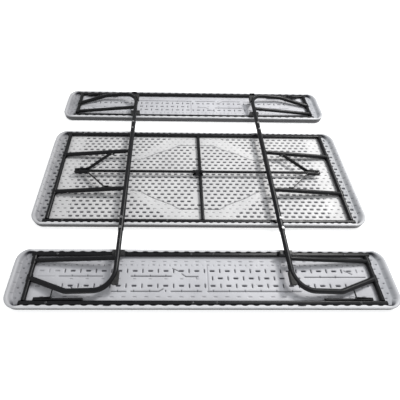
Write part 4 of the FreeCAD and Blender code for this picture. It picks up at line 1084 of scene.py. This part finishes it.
@dataclass
class SideRails:
    """Formed steel side rails with rounded corners and a plastic plug in each end."""

    corner: float = 5.5 * MM
    end_run: float = 0.8 * MM
    end_scale: float = 0.94
    plug_stand: float = 2.5 * MM
    plug_inset: float = 1.2 * MM
    plug_seat: float = 0.5 * MM
    dome_rise: tuple[float, ...] = (0.0, 0.55, 0.85, 1.0)
    dome_scale: tuple[float, ...] = (1.0, 0.98, 0.86, 0.6)

    def tube(self, node: str, along: int) -> bpy.types.Object:
        """Rounded tube in a CAD node's box: its outline carried from end to end, smaller at both.

        Args:
            node: the CAD rail it stands for.
            along: axis it runs along, 0 for X or 1 for Y.

        Returns:
            The closed tube.
        """
        low, high = (np.array(end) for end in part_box(node))
        middle = (low + high) / 2
        half = (high - low) / 2
        across = 1 - along
        outline = rounded_outline(half[across], half[2], self.corner)
        reach = half[along]
        stations = np.array([-reach, -reach + self.end_run, reach - self.end_run, reach])
        path = np.tile(middle, (len(stations), 1))
        path[:, along] += stations
        side = np.zeros_like(path)
        side[:, across] = 1.0 if along == 0 else -1.0
        up = np.tile([0.0, 0.0, 1.0], (len(stations), 1))
        scale = np.array([self.end_scale, 1.0, 1.0, self.end_scale])
        points, quads, caps = swept(path, side, up, outline, scale)
        return make_piece(f"{node}_tube", points, quads, caps, 35.0)

    def plug(self, soup: Soup, node: str) -> None:
        """Domed plugs in both ends of a rail that runs along X.

        Args:
            soup: mesh that gathers them.
            node: the CAD rail.
        """
        low, high = (np.array(end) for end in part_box(node))
        middle = (low + high) / 2
        half = (high - low) / 2
        outline = rounded_outline(half[1] - self.plug_inset, half[2] - self.plug_inset, self.corner)
        rise = self.plug_stand * np.array(self.dome_rise)
        for sign in (-1, 1):
            path = np.tile(middle, (len(rise), 1))
            path[:, 0] += sign * (half[0] - self.plug_seat + rise)
            side = np.tile([0.0, float(sign), 0.0], (len(rise), 1))
            up = np.tile([0.0, 0.0, 1.0], (len(rise), 1))
            soup.add(*swept(path, side, up, outline, np.array(self.dome_scale)))

    def build(self, finishes: Finishes) -> None:
        """Make all rails, the crossbar and the plugs."""
        groups = {
            "table": ["table_rail_near", "table_rail_far"],
            "benches": [f"{bench.word}_bench_{where}_rail"
                        for bench in Bench for where in ("inner", "outer")],
        }
        for body, rails in groups.items():
            soup = Soup(f"{body}_rail_plugs")
            for node in rails:
                finishes.place(self.tube(node, 0), Slot.STEEL, body, node)
                self.plug(soup, node)
            finishes.place(soup.build(), Slot.PLASTIC, body)
        finishes.place(self.tube("table_crossbar", 1), Slot.STEEL, "table", "table_crossbar")


@dataclass
class RailScrews:
    """Pan-head screws with a washer face and a cross recess."""

    head: float = 5.5 * MM
    stand: float = 2.6 * MM
    recess: float = 1.5 * MM
    radii: tuple[float, ...] = (1.0, 1.0, 0.92, 0.8, 0.62, 0.46, 0.32, 0.2, 0.1)
    levels: tuple[float, ...] = (0.0, 0.28, 0.42, 0.66, 0.86, 0.94, 0.97, 0.99, 1.0)
    sides: int = 32
    cross_half: float = 0.75 * MM
    cross_wall: float = 0.4 * MM
    cross_reach: float = 2.9 * MM
    cross_end: float = 0.5 * MM
    seed: int = 5

    def screw(self, x: float, y: float, base: float, turn: float) -> Shape:
        """One screw head as a surface of revolution with a cross pressed into its crown.

        Radius and height follow the listed shares of the head's size; the cross lowers the crown
        within two narrow bars.

        Args:
            x: place along the table.
            y: place across it.
            base: height of the surface under the head.
            turn: angle of the cross.

        Returns:
            Points, quads and caps.
        """
        angle = np.linspace(0.0, TAU, self.sides, endpoint=False)
        radius, bearing = np.meshgrid(np.array(self.radii) * self.head, angle, indexing="ij")
        px, py = radius * np.cos(bearing), radius * np.sin(bearing)
        bar = np.minimum(np.abs(px), np.abs(py))
        cross = (smooth((self.cross_half - bar) / self.cross_wall)
                 * smooth((self.cross_reach - radius) / self.cross_end))
        pz = np.array(self.levels)[:, None] * self.stand - self.recess * cross
        c, s = math.cos(turn), math.sin(turn)
        points = np.stack([x + c * px - s * py, y + s * px + c * py, base + pz], axis=-1)
        quads = grid_quads(len(self.radii), self.sides, wrap=True)
        last = (len(self.radii) - 1) * self.sides
        caps = [np.arange(self.sides)[::-1], last + np.arange(self.sides)]
        return points.reshape(-1, 3), quads, caps

    def build(self, finishes: Finishes) -> None:
        """Make the screws of the table and of each bench."""
        draw = np.random.default_rng(self.seed)
        for node, body in (("table_rail_screws", "table"), ("near_bench_screws", "benches"),
                           ("far_bench_screws", "benches")):
            soup = Soup(f"{node}_heads")
            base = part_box(node)[1][2] - self.stand
            for x, y in islands(node):
                soup.add(*self.screw(x, y, base, draw.uniform(0.0, QUARTER)))
            heads = soup.build(30.0)
            finishes.place(heads, Slot.PLATED, body, node)
            finishes.weather(heads)


@dataclass
class Welds:
    """Weld beads where tubes meet."""

    bead: float = 1.9 * MM
    ripple: float = 0.35 * MM
    least: float = 0.1 * MM
    ring_steps: int = 72
    ring_ripples: float = 22.0
    ring_taper: float = 12.0
    steepest: float = 0.99
    saddle_steps: int = 96
    saddle_ripples: float = 26.0
    inset: float = 0.4 * MM
    rail_drop: float = 3.0 * MM
    inner_radius: float = 10.6 * MM
    strut_radius: float = 11.0 * MM
    sleeve_inset: float = 17.0 * MM
    arm_radius: float = 12.5 * MM

    def ring(self, soup: Soup, centre: Sequence[float], radius: float, ceiling: float) -> None:
        """Bead round a tube that runs along Y, only below a given height.

        The path is an arc of the tube's circle; the bead swells and shrinks with a sine and tapers
        at both ends.

        Args:
            soup: mesh that gathers the beads.
            centre: middle of the tube's end.
            radius: outer radius of the tube.
            ceiling: height above which there is nothing to weld to.
        """
        rise = (ceiling - centre[2]) / radius
        lift = math.asin(max(-self.steepest, min(self.steepest, rise)))
        angle = np.linspace(-math.pi - lift, lift, self.ring_steps)
        path = np.stack([centre[0] + radius * np.cos(angle), np.full(self.ring_steps, centre[1]),
                         centre[2] + radius * np.sin(angle)], axis=1)
        share = np.linspace(0.0, 1.0, self.ring_steps)
        taper = smooth(np.minimum(share, 1.0 - share) * self.ring_taper)
        size = self.least + (self.bead + self.ripple * np.sin(angle * self.ring_ripples)) * taper
        soup.add(*bead(path, size))

    def saddle(self, soup: Soup, middle: Sequence[float], run: Sequence[float], main: float,
               branch: float) -> None:
        """Bead round a branch tube where it meets a thicker tube that runs along Y.

        The branch's surface is at distance branch from its axis; along its axis the joint lies at
        minus the square root of main squared less height squared.

        Args:
            soup: mesh that gathers the beads.
            middle: where the two axes cross.
            run: direction from the branch towards the main tube.
            main: radius of the main tube.
            branch: radius of the branch.
        """
        angle = np.linspace(0.0, TAU, self.saddle_steps, endpoint=False)
        ahead = np.array(run) / np.linalg.norm(run)
        across = np.array([0.0, 1.0, 0.0])
        third = np.cross(ahead, across)
        y, z = branch * np.cos(angle), branch * np.sin(angle)
        back = np.sqrt(np.maximum(main ** 2 - z ** 2, 0.0))
        path = (np.array(middle) + y[:, None] * across + z[:, None] * third - back[:, None] * ahead)
        size = self.bead + self.ripple * np.sin(angle * self.saddle_ripples)
        soup.add(*bead(path, size, closed=True))

    def build(self, finishes: Finishes) -> None:
        """Make the beads of the table, the benches and both end frames."""
        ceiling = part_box("table_rail_near")[1][2] - self.rail_drop
        table = Soup("table_welds")
        benches = Soup("bench_welds")
        for end in ("left", "right"):
            low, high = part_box(f"table_end_rail_{end}")
            radius = (high[2] - low[2]) / 2
            x, z = (low[0] + high[0]) / 2, (low[2] + high[2]) / 2
            for y in (low[1] + self.inset, high[1] - self.inset):
                self.ring(table, (x, y, z), radius, ceiling)
            for bench in Bench:
                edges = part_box(f"{bench.word}_bench_end_rails")
                for y in (edges[0][1] + self.inset, edges[1][1] - self.inset):
                    self.ring(benches, (x, y, z), radius, ceiling)
            self.frame_beads(finishes, end, (x, z))
        finishes.place(table.build(60.0), Slot.STEEL, "table")
        finishes.place(benches.build(60.0), Slot.STEEL, "benches")

    def frame_beads(self, finishes: Finishes, end: str, hinge: tuple[float, float]) -> None:
        """Beads where an end frame's straight tubes meet its cross tube.

        Args:
            finishes: the object's finishes.
            end: left or right.
            hinge: x and z of its hinge axis.
        """
        low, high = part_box(f"{end}_ground_tube")
        main = (high[2] - low[2]) / 2
        x, z = (low[0] + high[0]) / 2, (low[2] + high[2]) / 2
        run = (x - hinge[0], 0.0, z - hinge[1])
        soup = Soup(f"{end}_frame_welds")
        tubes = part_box(f"{end}_inner_tubes")
        for y in (tubes[0][1] + self.inner_radius, tubes[1][1] - self.inner_radius):
            self.saddle(soup, (x, y, z), run, main, self.inner_radius)
        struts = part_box(f"{end}_bench_struts")
        for y in (struts[0][1] + self.sleeve_inset, struts[1][1] - self.sleeve_inset):
            self.saddle(soup, (x, y, z), run, self.arm_radius, self.strut_radius)
        finishes.place(soup.build(60.0), Slot.STEEL, f"{end}_frame")


# --- Studio ---------------------------------------------------------------------------------------

@dataclass
class Studio:
    """Plain pale floor, soft light from the far right and the camera."""

    eye: tuple[float, float, float] = (-0.1488, -1.0071, 1.3196)
    pitch: float = 57.92
    yaw: float = 1.73
    roll: float = -1.86
    lens: float = 24.196
    shift: tuple[float, float] = (0.0569, 0.0048)
    key_from: tuple[float, float, float] = (2.25, 1.35, 3.0)
    key_power: float = 110.0
    key_size: tuple[float, float] = (0.7, 0.7)
    window_from: tuple[float, float, float] = (1.0, 0.5, 2.6)
    window_power: float = 16.0
    window_size: tuple[float, float] = (0.8, 0.3)
    key_tint: Colour = (1.0, 0.99, 0.97)
    window_tint: Colour = (0.93, 0.96, 1.0)
    floor_glow: float = 0.6
    floor_reach: float = 6.0
    floor_drop: float = 0.6 * MM
    floor_cells: int = 4
    floor_cloud: float = 1.5
    sky: float = 0.62
    sky_tint: Colour = (0.97, 0.985, 1.0)
    sensor: float = 36.0
    near_clip: float = 0.02

    def camera(self) -> None:
        """Place the camera: forward, right and down directions from pitch, yaw and roll."""
        pitch, yaw, roll = (math.radians(angle) for angle in (self.pitch, self.yaw, self.roll))
        ahead = Vector((math.sin(yaw) * math.cos(pitch), math.cos(yaw) * math.cos(pitch),
                        -math.sin(pitch)))
        level = Vector((math.cos(yaw), -math.sin(yaw), 0.0))
        fall = ahead.cross(level)
        right = math.cos(roll) * level + math.sin(roll) * fall
        down = -math.sin(roll) * level + math.cos(roll) * fall
        lens = bpy.data.cameras.new("camera")
        lens.lens = self.lens
        lens.sensor_width = self.sensor
        lens.shift_x, lens.shift_y = self.shift
        lens.clip_start = self.near_clip
        holder = bpy.data.objects.new("camera", lens)
        bpy.context.scene.collection.objects.link(holder)
        turn = Matrix((right, -down, -ahead)).transposed()
        holder.matrix_world = Matrix.Translation(Vector(self.eye)) @ turn.to_4x4()
        bpy.context.scene.camera = holder

    def lamp(self, name: str, place: tuple[float, float, float], power: float,
             size: tuple[float, float], tint: Colour) -> None:
        """Area light aimed at the middle of the object."""
        light = bpy.data.lights.new(name, "AREA")
        light.shape = "RECTANGLE"
        light.size, light.size_y = size
        light.energy = power
        light.color = tint
        holder = bpy.data.objects.new(name, light)
        bpy.context.scene.collection.objects.link(holder)
        turn = (-Vector(place)).to_track_quat("-Z", "Y").to_matrix().to_4x4()
        holder.matrix_world = Matrix.Translation(Vector(place)) @ turn

    def floor(self) -> None:
        """Large pale floor just under the object."""
        reach = np.linspace(-self.floor_reach, self.floor_reach, self.floor_cells + 1)
        x, y = np.meshgrid(reach, reach, indexing="ij")
        points = np.stack([x, y, np.full_like(x, -self.floor_drop)], axis=-1).reshape(-1, 3)
        quads = grid_quads(len(reach), len(reach))
        piece = make_piece("floor", points, quads)
        shade = Shade("pale_floor")
        cloud = shade.noise(self.floor_cloud, 2.0)
        tone = shade.blend(cloud, (0.93, 0.93, 0.93), (0.95, 0.95, 0.95))
        piece.data.materials.append(shade.finish(
            Base_Color=tone, Roughness=0.9, Specular_IOR_Level=0.1,
            Emission_Color=(1.0, 1.0, 1.0, 1.0), Emission_Strength=self.floor_glow))

    def build(self) -> None:
        """Make the floor, the lights, the sky and the camera."""
        self.floor()
        self.lamp("key", self.key_from, self.key_power, self.key_size, self.key_tint)
        self.lamp("window", self.window_from, self.window_power, self.window_size, self.window_tint)
        world = bpy.data.worlds.new("sky")
        world.use_nodes = True
        back = world.node_tree.nodes["Background"]
        back.inputs["Color"].default_value = (*self.sky_tint, 1.0)
        back.inputs["Strength"].default_value = self.sky
        bpy.context.scene.world = world
        bpy.context.scene.view_settings.view_transform = "Standard"
        self.camera()


def panels() -> list[Panel]:
    """The three moulded panels, each in the box of its CAD node."""
    low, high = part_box("table_top")
    pieces: list[Panel] = [TableTop(
        node="table_top", body="table", length=high[0] - low[0], width=high[1] - low[1], middle=0.0,
        corner=72.0 * MM, top=high[2], tab_pitch=TABLE_PITCH, cell_x=TABLE_PITCH / 12,
        cell_y=TABLE_ROW / 7, rail_end=RAIL_END, gap_line=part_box("table_rail_far")[1][1],
        phase_y=TABLE_ROW_PHASE)]
    for bench in Bench:
        low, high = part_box(f"{bench.word}_seat")
        pieces.append(Seat(
            node=f"{bench.word}_seat", body="benches", length=high[0] - low[0],
            width=high[1] - low[1], middle=(low[1] + high[1]) / 2, corner=62.0 * MM, top=high[2],
            tab_pitch=52.0 * MM, cell_x=SEAT_PITCH / 24, cell_y=SEAT_ROW / 12, rail_end=RAIL_END,
            gap_line=(high[1] - low[1]) / 2 - 16.0 * MM, phase_x=-bench.value * SEAT_FIRST,
            facing=bench.value))
    return pieces


def main() -> None:
    """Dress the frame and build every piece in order."""
    logging.basicConfig(level=logging.INFO, format="%(name)s: %(message)s")
    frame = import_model()
    finishes = Finishes()
    finishes.dress_frame(frame)
    for panel in panels():
        panel.build(finishes)
    SideRails().build(finishes)
    RailScrews().build(finishes)
    Welds().build(finishes)
    Studio().build()
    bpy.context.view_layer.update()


if __name__ == "__main__":
    main()
